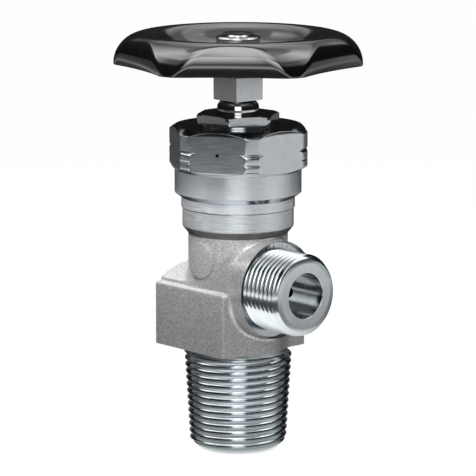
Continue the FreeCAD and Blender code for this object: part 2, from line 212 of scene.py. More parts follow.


# %% [markdown]
# ### The metals of this valve
# Each metal gets its two tones, its roughness, and the size and depth of its grain. The seal slides on the
# shank, so that is the smoothest. The bores get a darker tone, painted shade in the recesses, and the cone
# below the head a near-black one, painted shade for a face that looks down. Brass is used where pieces inside
# rub on each other.

# %% Make the metals
def grey(tone):
    """A neutral colour of one tone."""
    return (tone, tone, tone)


turned_lines = (0.05, 0.05, 1.0)
forged_satin = blasted("forged_satin", grey(0.39), grey(0.81), 0.30, 0.40, 0.022)
machined_plate = plated("machined_plate", (0.56, 0.60, 0.62), (0.60, 0.64, 0.66), 0.18, 0.25, 0.0015,
                        turned_lines)
thread_plate = plated("thread_plate", (0.58, 0.62, 0.64), (0.64, 0.68, 0.70), 0.13, 0.30, 0.001)
# Painted shade: the bores get a darker tone than the faces outside them.
bore_shade_plate = plated("bore_shade_plate", (0.34, 0.36, 0.37), (0.40, 0.42, 0.43), 0.14, 0.25, 0.002)
# Painted shade: a near-black tone for the cone below the head, which faces down away from the light.
cone_shade_plate = plated("cone_shade_plate", grey(0.13), grey(0.17), 0.40, 0.40, 0.010)
bonnet_plate = plated("bonnet_plate", (0.57, 0.60, 0.63), (0.61, 0.64, 0.67), 0.15, 0.22, 0.0008,
                      turned_lines)
gland_plate = plated("gland_plate", (0.58, 0.60, 0.62), (0.64, 0.66, 0.68), 0.14, 0.22, 0.0008, turned_lines)
spindle_polish = plated("spindle_polish", (0.68, 0.69, 0.70), (0.72, 0.73, 0.74), 0.07, 0.20, 0.0004,
                        turned_lines, 0.02)
sleeve_plate = plated("sleeve_plate", (0.58, 0.60, 0.62), (0.64, 0.66, 0.68), 0.16, 0.25, 0.001)
nut_chrome = plated("nut_chrome", (0.50, 0.52, 0.53), (0.56, 0.58, 0.59), 0.16, 0.20, 0.0006,
                    turned_lines, 0.02)
spring_steel = plated("spring_steel", (0.40, 0.41, 0.42), (0.48, 0.49, 0.50), 0.28, 0.30, 0.002)
diaphragm_steel = plated("diaphragm_steel", (0.55, 0.56, 0.57), (0.62, 0.63, 0.64), 0.18, 0.40, 0.001)
ring_brass = plated("ring_brass", (0.62, 0.46, 0.22), (0.72, 0.55, 0.28), 0.24, 0.30, 0.002, turned_lines)
print("metal finishes ready")


# %% [markdown]
# ### Moulded plastic, seat polymer and seal rubber
# The handwheel is a black moulding under a hard gloss, so it gets a strong, clear reflection with a very
# slight waviness, as a real mould leaves. The seat and slip washer are pale polymers, and the ring is rubber.
# They differ in tone, roughness and wave only, so one function serves all four.

# %% Polymer finishes
def moulded(name, dark, pale, rough, wave, relief, **shader_values):
    """A moulded polymer: tone, roughness, and the size and depth of its surface waves in millimetres."""
    finish, tree, shader = blank_finish(name, **shader_values)
    swell = speckle(tree, wave, 1.0)
    tinted(tree, swell, dark, pale, shader)
    fine = speckle(tree, wave / 8, 2.0)
    tree.links.new(graded(tree, fine, rough * 0.8, rough * 1.2), shader.inputs["Roughness"])
    raised(tree, swell, relief, shader)
    return finish


wheel_black = moulded("wheel_black", (0.004, 0.004, 0.004), (0.006, 0.006, 0.006), 0.12, 5.0, 0.002,
                      IOR=1.8, Specular_IOR_Level=1.0)
seat_polymer = moulded("seat_polymer", (0.62, 0.60, 0.55), (0.68, 0.66, 0.61), 0.45, 1.5, 0.003)
slip_polymer = moulded("slip_polymer", (0.72, 0.71, 0.68), (0.78, 0.77, 0.74), 0.40, 1.5, 0.002)
seal_rubber = moulded("seal_rubber", (0.015, 0.015, 0.015), (0.022, 0.022, 0.022), 0.55, 0.8, 0.004)
print("polymer finishes ready")


# %% [markdown]
# ## Turned shapes
# Most pieces come from a lathe. They start as a closed outline of radius and height, as on the drawing.
# Real edges are broken by a file or by tumbling, so each corner of the outline gets a small arc that
# catches the light. A Bevel modifier could round them on the finished piece, but it would also have to know
# which edges are corners, while the outline knows it at once.

# %% Break the corners of an outline
def soften(outline, radius, steps=3):
    """Replace each corner of a closed outline by a small arc; corners on the axis stay."""
    points = np.array(outline, float)
    before = np.roll(points, 1, 0) - points
    after = np.roll(points, -1, 0) - points
    length_before = np.maximum(np.hypot(*before.T), 1e-9)
    length_after = np.maximum(np.hypot(*after.T), 1e-9)
    reach = np.minimum(radius, 0.45 * np.minimum(length_before, length_after))
    reach[points[:, 0] < 1e-6] = 0
    start = points + before * (reach / length_before)[:, None]
    end = points + after * (reach / length_after)[:, None]
    arcs = []
    for step in range(steps + 1):
        t = step / steps
        arcs.append((1 - t) ** 2 * start + 2 * t * (1 - t) * points + t * t * end)
    return np.stack(arcs, 1).reshape(-1, 2)


print("a square gets", len(soften([(1, 0), (2, 0), (2, 1), (1, 1)], 0.1)), "points")


# %% [markdown]
# ### Skinning
# Blender's Spin tool could turn a fixed outline round the axis. Here the outline may change with the angle,
# as it does where a flat is milled, so the skin between neighbouring outlines is made face by face.

# %% Skin outlines round an axis
def even_angles(count):
    """Angles in equal steps all round the axis."""
    return np.arange(count) * 2 * math.pi / count


def skin(outlines, angles):
    """Join closed outlines, one for each angle, into a closed bmesh about the Z axis."""
    rings = np.array(outlines, float)
    columns, rows = rings.shape[:2]
    angles = np.array(angles)
    x = rings[:, :, 0] * np.cos(angles)[:, None]
    y = rings[:, :, 0] * np.sin(angles)[:, None]
    points = np.stack([x, y, rings[:, :, 1]], 2).reshape(-1, 3)
    shape = bmesh.new()
    verts = [shape.verts.new(point) for point in points.tolist()]
    on_axis = rings[0, :, 0] < 1e-6
    for column in range(columns):
        beside = (column + 1) % columns
        for row in range(rows):
            above = (row + 1) % rows
            if on_axis[row] and on_axis[above]:
                continue
            corners = [verts[column * rows + row], verts[beside * rows + row],
                       verts[beside * rows + above], verts[column * rows + above]]
            shape.faces.new(corners)
    bmesh.ops.remove_doubles(shape, verts=shape.verts, dist=1e-4)
    bmesh.ops.dissolve_degenerate(shape, edges=shape.edges, dist=1e-5)
    bmesh.ops.recalc_face_normals(shape, faces=shape.faces)
    return shape


def turned(outline, radius=0.12, count=144):
    """A plain lathe shape from one outline."""
    return skin([soften(outline, radius)] * count, even_angles(count))


def washer_ring(node, hole):
    """A plain washer with broken edges, as wide and as thick as its node."""
    low, high = span(node)
    return turned([(hole, low.z), (high.x, low.z), (high.x, high.z), (hole, high.z)], 0.1)


print("lathe ready")


# %% [markdown]
# ## Bars with flats
# A hexagon or square piece is also turned: the lathe rounds the bar's corners, and the flats are what the
# lathe didn't reach. So the same lathe skin works, with one more rule. At each angle the outline's radius is
# limited to how far the flat is from the axis. The arc where a flat meets a chamfer then comes out by itself.

# %% Limit an outline to a flat
def clip_to_flat(outline, flat, nearest, low=-1e9, high=1e9, blend=0.1):
    """Limit an outline's radius to flat between two levels, and mark where each side crosses the flat."""
    clipped = []
    last = len(outline)
    for number, (radius, level) in enumerate(outline):
        next_radius, next_level = outline[(number + 1) % last]
        inside = low - 1e-6 <= level <= high + 1e-6
        gap = max(blend - abs(radius - flat), 0) / blend
        limited = min(radius, flat) - gap * gap * blend / 4
        clipped.append((limited if inside and radius > nearest else radius, level))
        both_inside = inside and low - 1e-6 <= next_level <= high + 1e-6
        if both_inside and max(radius, next_radius) > nearest:
            share = 0.5
            if (radius - flat) * (next_radius - flat) < 0:
                share = (flat - radius) / (next_radius - radius)
            middle_radius = radius + share * (next_radius - radius)
            middle_level = level + share * (next_level - level)
            clipped.append((min(middle_radius, flat), middle_level))
    return clipped


print("flat limiter ready")


# %% [markdown]
# ### Angles of a bar
# A flat ends where it meets a turned corner, and a column of the skin has to stand exactly there, or the edge
# would look frayed. So the angles are spread evenly over each flat and over each corner, not over the round.

# %% Turn a bar with flats
def bar_angles(sides, across, corner, turn, step=1.0):
    """Nearly even angles for a bar, with one exactly where each flat meets a turned corner."""
    edge = math.degrees(math.acos(across / 2 / corner))
    offsets = []
    for start, width in ((-edge, 2 * edge), (edge, 360 / sides - 2 * edge)):
        parts = max(round(width / step), 1)
        offsets += [start + width * number / parts for number in range(parts)]
    angles = [turn + side * 360 / sides + offset for side in range(sides) for offset in offsets]
    return np.radians(angles)


def flat_distance(angle, across, sides, turn):
    """How far a bar's surface is from the axis in the direction of an angle."""
    pitch = 2 * math.pi / sides
    offset = (angle - math.radians(turn) + pitch / 2) % pitch - pitch / 2
    return across / 2 / math.cos(offset)


def barred(outline, sides, across, corner, turn, low, high, edge, step=1.0):
    """A bar of several flats, turned to an outline that the flats limit between two levels."""
    angles = bar_angles(sides, across, corner, turn, step)
    rings = []
    for angle in angles:
        flat = flat_distance(angle, across, sides, turn)
        limited = clip_to_flat(outline, flat, across / 2 + 0.02, low, high)
        rings.append(soften(limited, edge, 2))
    return skin(rings, angles)


print("hexagon bar:", len(bar_angles(6, 34.2, 18.8, 0)), "columns")


# %% [markdown]
# ## From shapes to pieces
# A shape becomes a piece when it has a name, finishes, a body to ride on and the CAD nodes it stands for.
# Cuts and joints are Booleans with the Manifold solver, which is quick and keeps closed skins closed.
# Weighted normals keep big faces flat in the light, and leave the turn to the narrow edge arcs.

# %% Make pieces
def to_object(shape, name, finishes, index=0):
    """Turn a bmesh in millimetres into an object in metres."""
    for face in shape.faces:
        face.smooth = True
        face.material_index = index
    bmesh.ops.scale(shape, vec=(MM, MM, MM), verts=shape.verts)
    mesh = bpy.data.meshes.new(name)
    shape.to_mesh(mesh)
    shape.free()
    for finish in finishes:
        mesh.materials.append(finish)
    made = bpy.data.objects.new(name, mesh)
    bpy.context.scene.collection.objects.link(made)
    return made


def bake(piece):
    """Apply every modifier of a piece to its mesh."""
    graph = bpy.context.evaluated_depsgraph_get()
    mesh = bpy.data.meshes.new_from_object(piece.evaluated_get(graph), depsgraph=graph)
    piece.modifiers.clear()
    old = piece.data
    piece.data = mesh
    bpy.data.meshes.remove(old)
    return piece


def combine(piece, tool, operation):
    """Join, cut or intersect with another closed object, which is then used up."""
    step = piece.modifiers.new("combine", "BOOLEAN")
    step.operation = operation
    step.solver = "MANIFOLD"
    step.object = tool
    bake(piece)
    bpy.data.objects.remove(tool)
    return piece


print("joining and cutting ready")


# %% [markdown]
# ### Dressing a piece
# One call gives them all, so no piece misses one.

# %% Dress a piece
def dress(piece, body, nodes, sharp=35):
    """Ride a piece on its body, let it stand for its nodes, and set its normals."""
    piece.data.set_sharp_from_angle(angle=math.radians(sharp))
    weigh = piece.modifiers.new("even light", "WEIGHTED_NORMAL")
    weigh.keep_sharp = True
    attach(piece, body)
    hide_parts(*nodes)
    print(piece.name, "faces", len(piece.data.polygons))
    return piece


print("dressing ready")


# %% [markdown]
# ## Threads
# A screw thread is one groove that climbs the bar. Its surface is a grid of points in which each turn joins
# the next one a pitch higher, so the whole thread is a single closed skin with no seam. The stem's thread
# tapers 3 in 25, the outlet's is parallel. Both have rounded crests and roots, as 55 degree threads do.

# %% Shape of the groove
def thread_form(share):
    """Depth of a rounded V groove, 0 on the crest and 1 at the root, over one pitch."""
    wave = 1 - abs(((share + 0.5) % 1.0) * 2 - 1)
    knee = 0.16
    if wave < knee:
        return wave * wave / (2 * knee) / (1 - knee)
    if wave > 1 - knee:
        left = 1 - wave
        return 1 - left * left / (2 * knee) / (1 - knee)
    return (wave - knee / 2) / (1 - knee)


print("groove:", [round(thread_form(share), 2) for share in (0, 0.25, 0.5)])


# %% [markdown]
# ### The bar round which it climbs
# A Screw modifier could sweep the groove too, but it makes an open surface of fixed radius. A Boolean needs a
# closed body, and the stem tapers. So the grid is built row by row with its radius asked at each level, and
# both ends are cut flat and closed.

# %% Cut a thread
def threaded_bar(low, high, pitch, depth, crest_at, start=0.0, rows=12, count=144):
    """A solid bar with a right-handed thread between two levels; crest_at gives the crest's radius."""
    turns = math.ceil((high - low) / pitch) + 3
    base = low - 1.5 * pitch
    shape = bmesh.new()
    grid = []
    for row in range(turns * rows + 1):
        line = []
        for column in range(count):
            angle = 2 * math.pi * column / count
            level = base + pitch * (row / rows + column / count)
            radius = crest_at(level) - depth * thread_form(row / rows)
            turned_angle = angle + start
            x = radius * math.cos(turned_angle)
            y = radius * math.sin(turned_angle)
            line.append(shape.verts.new((x, y, level)))
        grid.append(line)
    for row in range(turns * rows):
        for column in range(count - 1):
            shape.faces.new((grid[row][column], grid[row][column + 1],
                             grid[row + 1][column + 1], grid[row + 1][column]))
        if row + rows + 1 <= turns * rows:
            shape.faces.new((grid[row][-1], grid[row + rows][0],
                             grid[row + rows + 1][0], grid[row + 1][-1]))
    for level, keep in ((low, 1), (high, -1)):
        everything = shape.verts[:] + shape.edges[:] + shape.faces[:]
        cut = bmesh.ops.bisect_plane(shape, geom=everything, plane_co=(0, 0, level), plane_no=(0, 0, -keep),
                                     clear_outer=True)
        rim = [item for item in cut["geom_cut"] if isinstance(item, bmesh.types.BMEdge)]
        bmesh.ops.contextual_create(shape, geom=rim)
    bmesh.ops.recalc_face_normals(shape, faces=shape.faces)
    return shape


print("threaded bar ready")


# %% [markdown]
# ## The forging
# The body starts as a hot forging: a block with two wrench pads, an arched top, a round neck and a boss
# that crosses the neck at nearly its own width. Forgings have no sharp inner corner, so the pieces flow
# into each other. That is easy to say with distances: each form tells how far a point is from its skin,
# and a smooth minimum of those distances blends the forms with a fillet. A net of small quads is then
# drawn where the distance is zero, and every corner of it is pulled exactly onto the skin.

# %% Sizes of the forging
block_base = 27.3
pad_half = 14.67
pad_top = block_base + 17.0
block_half = 12.8
shoulder_level = block_base + 17.9
arch_rise = 3.6
block_back = 16.9
block_front = 10.7
edge_round = 0.9
neck_radius = 13.25
outlet_level = block_base + 17.37
boss_radius = 13.0
boss_reach = 15.9
neck_top = 58.2
spare = 1.0
trim = 4
fillet = 1.3
print("block", round(pad_top - block_base, 2), "high, outlet at", round(outlet_level, 2))


# %% [markdown]
# ### The skin as a distance
# Each form is a rule that tells how far a point is from its skin, negative inside. The lesser of two
# distances joins two forms, the greater one keeps what they share, and a smooth version of either leaves a
# fillet or a rounded edge, as the die did.

# %% Join distances smoothly
def smooth_min(a, b, reach):
    """The lesser of two distances, with a fillet where they differ by less than reach."""
    closeness = np.maximum(reach - np.abs(a - b), 0) / reach
    return np.minimum(a, b) - closeness * closeness * reach / 4


def smooth_max(a, b, reach):
    """The greater of two distances, with a rounded edge where they differ by less than reach."""
    return -smooth_min(-a, -b, reach)


def rounded_box(x, y, z, low, high, radius):
    """Distance to a box with rounded edges."""
    middle = [(a + b) / 2 for a, b in zip(low, high)]
    half = [(b - a) / 2 - radius for a, b in zip(low, high)]
    away = [np.abs(value - centre) - size for value, centre, size in zip((x, y, z), middle, half)]
    outside = np.sqrt(sum(np.maximum(value, 0) ** 2 for value in away))
    inside = np.minimum(np.maximum(np.maximum(away[0], away[1]), away[2]), 0)
    return outside + inside - radius


print("smooth joins ready")


# %% [markdown]
# ### The forms of the forging
# Two wrench pads lie on both sides of a block with an arched top, and all are cut straight at the back. The
# neck goes up through them and the boss crosses it. Solids joined by Booleans would need a fillet on every
# seam, while here one line joins each form and rounds its seam at once.

# %% Describe the forged skin
def forging(points):
    """Distance from points to the forged skin, negative inside."""
    x, y, z = points[..., 0], points[..., 1], points[..., 2]
    pads = rounded_box(x, y, z, (-block_back - trim, -pad_half, block_base - trim),
                       (block_front, pad_half, pad_top), edge_round)
    arch_radius = (block_half ** 2 + arch_rise ** 2) / (2 * arch_rise)
    arch = np.hypot(y, z - (shoulder_level + arch_rise - arch_radius)) - arch_radius
    block = smooth_max(smooth_max(np.abs(y) - block_half, arch, 0.5), x - block_front, edge_round)
    block = np.maximum(block, block_base - trim - z)
    neck = np.hypot(x, y) - neck_radius
    neck = np.maximum(np.maximum(neck, z - neck_top - spare), block_base - trim - z)
    boss = np.hypot(y, z - outlet_level) - boss_radius
    boss = np.maximum(np.maximum(boss, x - boss_reach - spare), -x)
    skin_distance = smooth_max(smooth_min(pads, block, 0.5), -block_back - x, 0.4)
    skin_distance = smooth_min(skin_distance, neck, fillet)
    return smooth_min(skin_distance, boss, fillet)


print("forging described")


# %% [markdown]
# ### A net of quads on the skin
# Space is divided into small cells. A cell that the skin crosses gets one corner, at the average of its
# crossings, and corners of neighbouring cells join to quads. Blender's Remesh modifier could draw a net too,
# but it would need the joined solids first, and its fillets would have to be modelled one by one.

# %% Draw the net where the distance is zero
def net_of_zero(distance, low, high, cell):
    """Quads on the zero surface of a distance field, one corner per crossed cell."""
    axes = [np.arange(a, b + cell, cell) for a, b in zip(low, high)]
    grid = np.stack(np.meshgrid(*axes, indexing="ij"), 3)
    value = distance(grid)
    inside = value < 0
    crossed = np.zeros(tuple(n - 1 for n in value.shape), bool)
    total = np.zeros(crossed.shape + (3,))
    count = np.zeros(crossed.shape)
    nx, ny, nz = crossed.shape
    steps = [(1, 0, 0), (0, 1, 0), (0, 0, 1)]
    for step in steps:
        for corner in [(a, b, c) for a in (0, 1) for b in (0, 1) for c in (0, 1)]:
            if any(c and s for c, s in zip(corner, step)):
                continue
            near = tuple(slice(c, c + n) for c, n in zip(corner, (nx, ny, nz)))
            far = tuple(slice(c + s, c + s + n) for c, s, n in zip(corner, step, (nx, ny, nz)))
            cut = inside[near] != inside[far]
            share = np.where(cut, value[near] / np.where(cut, value[near] - value[far], 1), 0)
            place = grid[near] + (grid[far] - grid[near]) * share[..., None]
            total += np.where(cut[..., None], place, 0)
            count += cut
            crossed |= cut
    number = -np.ones(crossed.shape, int)
    number[crossed] = np.arange(crossed.sum())
    points = total[crossed] / count[crossed][:, None]
    quads = []
    for axis, step in enumerate(steps):
        first, second = [k for k in range(3) if k != axis]
        inner = [slice(1, n) for n in crossed.shape]
        inner[axis] = slice(0, crossed.shape[axis])
        near = tuple(inner)
        far = list(inner)
        far[axis] = slice(1, crossed.shape[axis] + 1)
        cut = inside[near] != inside[tuple(far)]
        where = np.argwhere(cut)
        base = where + np.array([0 if k == axis else 1 for k in range(3)])
        ring = []
        for shift_first, shift_second in ((-1, -1), (0, -1), (0, 0), (-1, 0)):
            cell_place = base.copy()
            cell_place[:, first] += shift_first
            cell_place[:, second] += shift_second
            ring.append(number[tuple(cell_place.T)])
        quads.append(np.stack(ring, 1))
    return points, np.concatenate(quads)


print("net ready")


# %% [markdown]
# ### Pulling the corners onto the skin
# The average of the crossings lies close to the skin, but not on it, and that would show as ripples in the
# light. The slope of the distance points straight at the skin, so a few steps along it bring each corner
# there to well under a hundredth of a millimetre.

# %% Pull the net onto the skin
def pull_to_skin(distance, points, rounds=4):
    """Move points along the distance's slope until they lie on the zero surface."""
    tiny = 0.01
    for _ in range(rounds):
        slope = np.zeros_like(points)
        for axis in range(3):
            step = np.zeros(3)
            step[axis] = tiny
            slope[:, axis] = (distance(points + step) - distance(points - step)) / (2 * tiny)
        size = np.maximum((slope ** 2).sum(1), 0.2)
        points = points - slope * (distance(points) / size)[:, None]
    return points


print("puller ready")


# %% [markdown]
# ### The forged net
# The cells are 0.42 mm wide: fine enough for a fillet of 1.3 mm, and coarse enough to keep the body under
# two hundred thousand triangles. The box in which the net is drawn is a little larger than the forging.

# %% Make the net
cell = 0.42
forging_low = (-block_back - 1, -pad_half - 1, block_base - 2)
forging_high = (boss_reach + 2, pad_half + 1, neck_top + 2)
net_points, net_quads = net_of_zero(forging, forging_low, forging_high, cell)
net_points = pull_to_skin(forging, net_points)
shape = bmesh.new()
net_verts = [shape.verts.new(point) for point in net_points.tolist()]
for quad in net_quads.tolist():
    shape.faces.new([net_verts[corner] for corner in quad])
worst = float(abs(forging(net_points)).max())
print("forged net:", len(net_points), "corners, at most", round(worst, 5), "mm off the skin")


# %% [markdown]
# ## Body: machining the forging
# On the real valve the forging is held in a chuck: the seat for the bonnet, the stem and the outlet are
# turned, then threaded, and the gas way is drilled. The same order is used here. The turned parts are made
# on the lathe helper, joined to the forging, and the bores are cut last, so the body is one closed skin.

# %% Trim the forging at the block's base
everything = shape.verts[:] + shape.edges[:] + shape.faces[:]
cut = bmesh.ops.bisect_plane(shape, geom=everything, plane_co=(0, 0, block_base), plane_no=(0, 0, -1),
                             clear_outer=True)
rim = [item for item in cut["geom_cut"] if isinstance(item, bmesh.types.BMEdge)]
bmesh.ops.contextual_create(shape, geom=rim)
bmesh.ops.recalc_face_normals(shape, faces=shape.faces)
# Finish 3 is a darker tone, painted shade in the bores; finish 4 is near black, painted shade on the cone
# below the head.
body_finishes = [forged_satin, machined_plate, thread_plate, bore_shade_plate, cone_shade_plate]
forged, machined, threaded, shaded_bore, shaded_cone = range(5)
body = to_object(shape, "valve_body_shell", body_finishes)
print("forging:", len(body.data.polygons), "faces")

# %% [markdown]
# ### Stem
# The stem screws into the cylinder's neck and seals by its taper, 3 in 25, with 14 threads an inch. A die
# cuts the thread on a tapered blank with a large chamfer at the tip and a relief groove under the block.
# The order is the same here: a threaded bar, trimmed by the blank's outline, then joined to the groove.

# %% Stem with its taper thread
stem_radius = 14.4
stem_length = 26.0
stem_slope = 3 / 50
stem_pitch = 1.814
stem_depth = 1.12
stem_relief = 13.2
stem_core = 12.0
stem_chamfer = 2.25


def stem_crest(level):
    """The taper's radius over the crests at a level."""
    return stem_radius - (stem_length - level) * stem_slope


tip = stem_crest(stem_chamfer)
thread_start = 2.0
stem = threaded_bar(0, stem_length, stem_pitch, stem_depth, stem_crest, thread_start)
stem = to_object(stem, "stem", body_finishes, threaded)
envelope = turned([(0, 0), (tip - stem_chamfer, 0), (tip, stem_chamfer), (stem_radius + 1, stem_chamfer + 1),
                   (stem_radius + 1, stem_length), (0, stem_length)], 0.05)
combine(stem, to_object(envelope, "envelope", body_finishes, machined), "INTERSECT")
relief = turned([(0, 20), (stem_core, 20), (stem_core, stem_length - 0.4),
                 (stem_relief - 0.3, stem_length - 0.2), (stem_relief, stem_length + 0.3),
                 (stem_relief, block_base + 2), (0, block_base + 2)], 0.15)
combine(stem, to_object(relief, "relief", body_finishes, machined), "UNION")
combine(body, stem, "UNION")
print("with stem:", len(body.data.polygons))

# %% [markdown]
# ### Head
# The bonnet sits on a turned ring that is wider than the neck, and a cone leads from one to the other. The
# ring is bright from the tool. The cone faces down, so it is a piece of its own in a near-black tone: painted
# shade for a face that looks away from the light.

# %% Neck and machined head
head_radius = 14.8
head_base = 60.1
head_lead = (head_radius - neck_radius) / (head_base - neck_top)
cone_sunk = 0.8
cone_start = neck_top - cone_sunk
cone = turned([(0, cone_start), (neck_radius - cone_sunk * head_lead, cone_start),
               (head_radius - 0.1, head_base - 0.1), (head_radius - 0.1, head_base + 1), (0, head_base + 1)],
              0.1, 192)
# The cone takes the near-black tone: painted shade.
combine(body, to_object(cone, "cone", body_finishes, shaded_cone), "UNION")
head = turned([(0, head_base - 0.05), (head_radius - 0.2, head_base - 0.05), (head_radius, head_base + 0.15),
               (head_radius, head_top), (0, head_top)], 0.2, 192)
combine(body, to_object(head, "head", body_finishes, machined), "UNION")
print("with head:", len(body.data.polygons))

# %% [markdown]
# ### Outlet
# The customer's fitting screws on the outlet, so its boss has a faced seat, a parallel thread of 16 to the
# inch and a large lead-in chamfer. It is turned across the spindle's axis. So each tool here is made upright,
# as on a lathe, and then laid along X: one cut for the face, and a threaded bar trimmed by its blank.

# %% Outlet's face
outlet_reach = body_high.x
outlet_radius = 10.9
outlet_pitch = 25.4 / 16
outlet_depth = 0.98
face_inner = 9.4
dish = 1.7
along_x = Matrix.Rotation(math.pi / 2, 4, "Y")
to_outlet = Matrix.Translation((0, 0, outlet_level)) @ along_x


def lay_outlet(shape, name, index):
    """Lay an upright shape along the outlet's axis."""
    bmesh.ops.transform(shape, matrix=to_outlet, verts=shape.verts)
    return to_object(shape, name, body_finishes, index)


dish_floor = boss_reach - dish
face_top = boss_reach + 3
face_cut = turned([(face_inner, dish_floor), (boss_radius - 0.3, dish_floor + 0.15),
                   (boss_radius - 0.12, boss_reach - 0.1), (boss_radius + 0.3, boss_reach + 0.05),
                   (boss_radius + 2, face_top), (face_inner, face_top)], 0.1, 192)
combine(body, lay_outlet(face_cut, "face_cut", machined), "DIFFERENCE")
print("with face:", len(body.data.polygons))

# %% [markdown]
# ### Outlet's thread
# The blank's end has two chamfers, a steep one that leads the fitting on and a slight one up to the face.
# Where they cross the thread, its turns run out, as on the stem.

# %% Cut the outlet's thread
thread_base = 13.2
blank_radius = 11.5
chamfer_length = 1.55
chamfer_knee = (9.7, outlet_reach - 0.2)
face_ring = 8.55
thread = threaded_bar(thread_base, outlet_reach, outlet_pitch, outlet_depth, lambda level: outlet_radius)
thread = lay_outlet(thread, "thread", threaded)
envelope = turned([(0, thread_base), (blank_radius, thread_base),
                   (blank_radius, outlet_reach - chamfer_length), chamfer_knee, (face_ring, outlet_reach),
                   (0, outlet_reach)], 0.1)
combine(thread, lay_outlet(envelope, "envelope", machined), "INTERSECT")
combine(body, thread, "UNION")
print("with outlet:", len(body.data.polygons))

# %% [markdown]
# ### Medallion
# The die also raises a round field on the neck, where a maker may put a mark. It is left bare here. It
# follows the neck's curve, so the flat disc is made with rings of points, which are then bent round the neck.

# %% Bare medallion on the neck's left side
medal_radius = 4.8
medal_level = block_base + 24.8
medal_face = neck_radius + 0.85
medal_depth = 3.0
medal_rings = [(radius, medal_depth) for radius in (4.0, 3.2, 2.4, 1.6, 0.8, 0)]
medal = turned([(0, 0), (medal_radius, 0), (medal_radius, medal_depth)] + medal_rings, 0.16, 96)
medal_place = Matrix.Translation((0, -medal_face + medal_depth, medal_level))
lay_medal = medal_place @ Matrix.Rotation(math.pi / 2, 4, "X")
bmesh.ops.transform(medal, matrix=lay_medal, verts=medal.verts)
for vert in medal.verts:
    vert.co.y += medal_face - math.sqrt(medal_face ** 2 - vert.co.x ** 2)
combine(body, to_object(medal, "medal", body_finishes, forged), "UNION")
print("with medallion:", len(body.data.polygons))

# %% [markdown]
# ### Gas way
# Gas comes up through the stem, over the nozzle that the seat closes, and out through a small hole to the
# outlet's counterbore. What the drills and cutters take out on the spindle's axis is one turned shape, so it
# is cut away in one step.

# %% Bore the body
stem_bore = 4.0
seat_bore = 2.5
nozzle_radius = 3.6
chamber_radius = 7.0
pocket_radius = 10.3
thread_bore = 11.0
chamber_floor = outlet_level - 4.67
nozzle_top = chamber_floor + 1.8
diaphragm_level = chamber_floor + 12.0
sheet_stack = 0.75
clamp_height = 3.25
thread_floor = diaphragm_level + sheet_stack + clamp_height - 0.4
core = turned([(0, -1), (stem_bore + 0.4, -1), (stem_bore + 0.4, 0), (stem_bore, 0.4), (stem_bore, 30),
               (seat_bore, 31.5), (seat_bore, nozzle_top), (nozzle_radius, nozzle_top),
               (nozzle_radius, chamber_floor), (chamber_radius, chamber_floor),
               (chamber_radius, diaphragm_level), (pocket_radius, diaphragm_level),
               (pocket_radius, thread_floor), (thread_bore, thread_floor), (thread_bore, head_top + 1),
               (0, head_top + 1)], 0.1, 96)
# The gas way takes the darker bore tone, painted shade.
combine(body, to_object(core, "core", body_finishes, shaded_bore), "DIFFERENCE")
print("bored:", len(body.data.polygons))

# %% [markdown]
# ### Counterbore
# The outlet's counterbore holds the fitting's washer. Its wall takes the darker bore tone, painted shade, so
# the floor is cut once more with the lighter machined finish and reads brighter, and the small hole follows.

# %% Bore the outlet
bore_radius = 5.925
bore_floor = outlet_reach - 6.4
spot_radius = bore_radius - 0.1
hole_radius = 1.4
hole_start = 6.2
bore = turned([(0, bore_floor), (bore_radius, bore_floor), (bore_radius, outlet_reach - 0.15),
               (bore_radius + 0.3, outlet_reach + 0.15), (bore_radius + 0.3, outlet_reach + 1),
               (0, outlet_reach + 1)], 0.1, 128)
# The counterbore's wall takes the darker bore tone, painted shade.
combine(body, lay_outlet(bore, "bore", shaded_bore), "DIFFERENCE")
spot = turned([(0, bore_floor - 0.04), (spot_radius, bore_floor - 0.04), (spot_radius, bore_floor + 0.5),
               (0, bore_floor + 0.5)], 0.01, 128)
combine(body, lay_outlet(spot, "spot", machined), "DIFFERENCE")
hole = turned([(0, hole_start), (hole_radius, hole_start), (hole_radius, bore_floor + 0.5),
               (0, bore_floor + 0.5)], 0.05, 48)
# The small hole takes the same painted shade.
combine(body, lay_outlet(hole, "hole", shaded_bore), "DIFFERENCE")
dress(body, "valve", ["valve_body"], 40)


# %% [markdown]
# ## Bonnet nut
# The bonnet screws into the head and holds the diaphragms down. It is turned from hexagon bar, so the
# collar and the chamfers are round while six flats remain, and each flat meets the chamfer in an arc.
# Two grooves are turned into the corners as a mark, and a small hole vents the space above the diaphragms.

# %% Bonnet outline and flats
collar_base = 67.9
hex_base = collar_base + 7.5
hex_across = 34.2
hex_corner = 18.8
collar_radius = 16.85
seat_ring = 15.1
spigot_radius = 10.95
lower_bore = 7.65
spindle_bore = 7.05
seal_groove = 7.95
gland_bore = 8.5
fine = hex_base + 3.1
mark = hex_base + 5.75
bonnet_outline = [
    (lower_bore, bonnet_low.z), (spigot_radius, bonnet_low.z), (spigot_radius, head_top),
    (seat_ring, head_top), (seat_ring, collar_base), (seat_ring - 0.05, collar_base),
    (collar_radius, collar_base + 1.3), (collar_radius, hex_base), (hex_corner, hex_base + 1.1),
    (hex_corner, fine - 0.175), (hex_corner - 0.2, fine), (hex_corner, fine + 0.175),
    (hex_corner, mark - 0.5), (hex_corner - 0.5, mark), (hex_corner, mark + 0.5),
    (hex_corner, hex_top - 1.4), (hex_corner - 2.0, hex_top), (gland_bore + 0.3, hex_top),
    (gland_bore, hex_top - 0.3), (gland_bore, hex_top - 4.0), (spindle_bore, hex_top - 4.0),
    (spindle_bore, hex_base + 6.6), (seal_groove, hex_base + 6.6), (seal_groove, hex_base + 4.6),
    (spindle_bore, hex_base + 4.6), (spindle_bore, bonnet_low.z + 7.6), (lower_bore, bonnet_low.z + 7.0),
]
bonnet = barred(bonnet_outline, 6, hex_across, hex_corner, 0, hex_base, hex_top, 0.14)
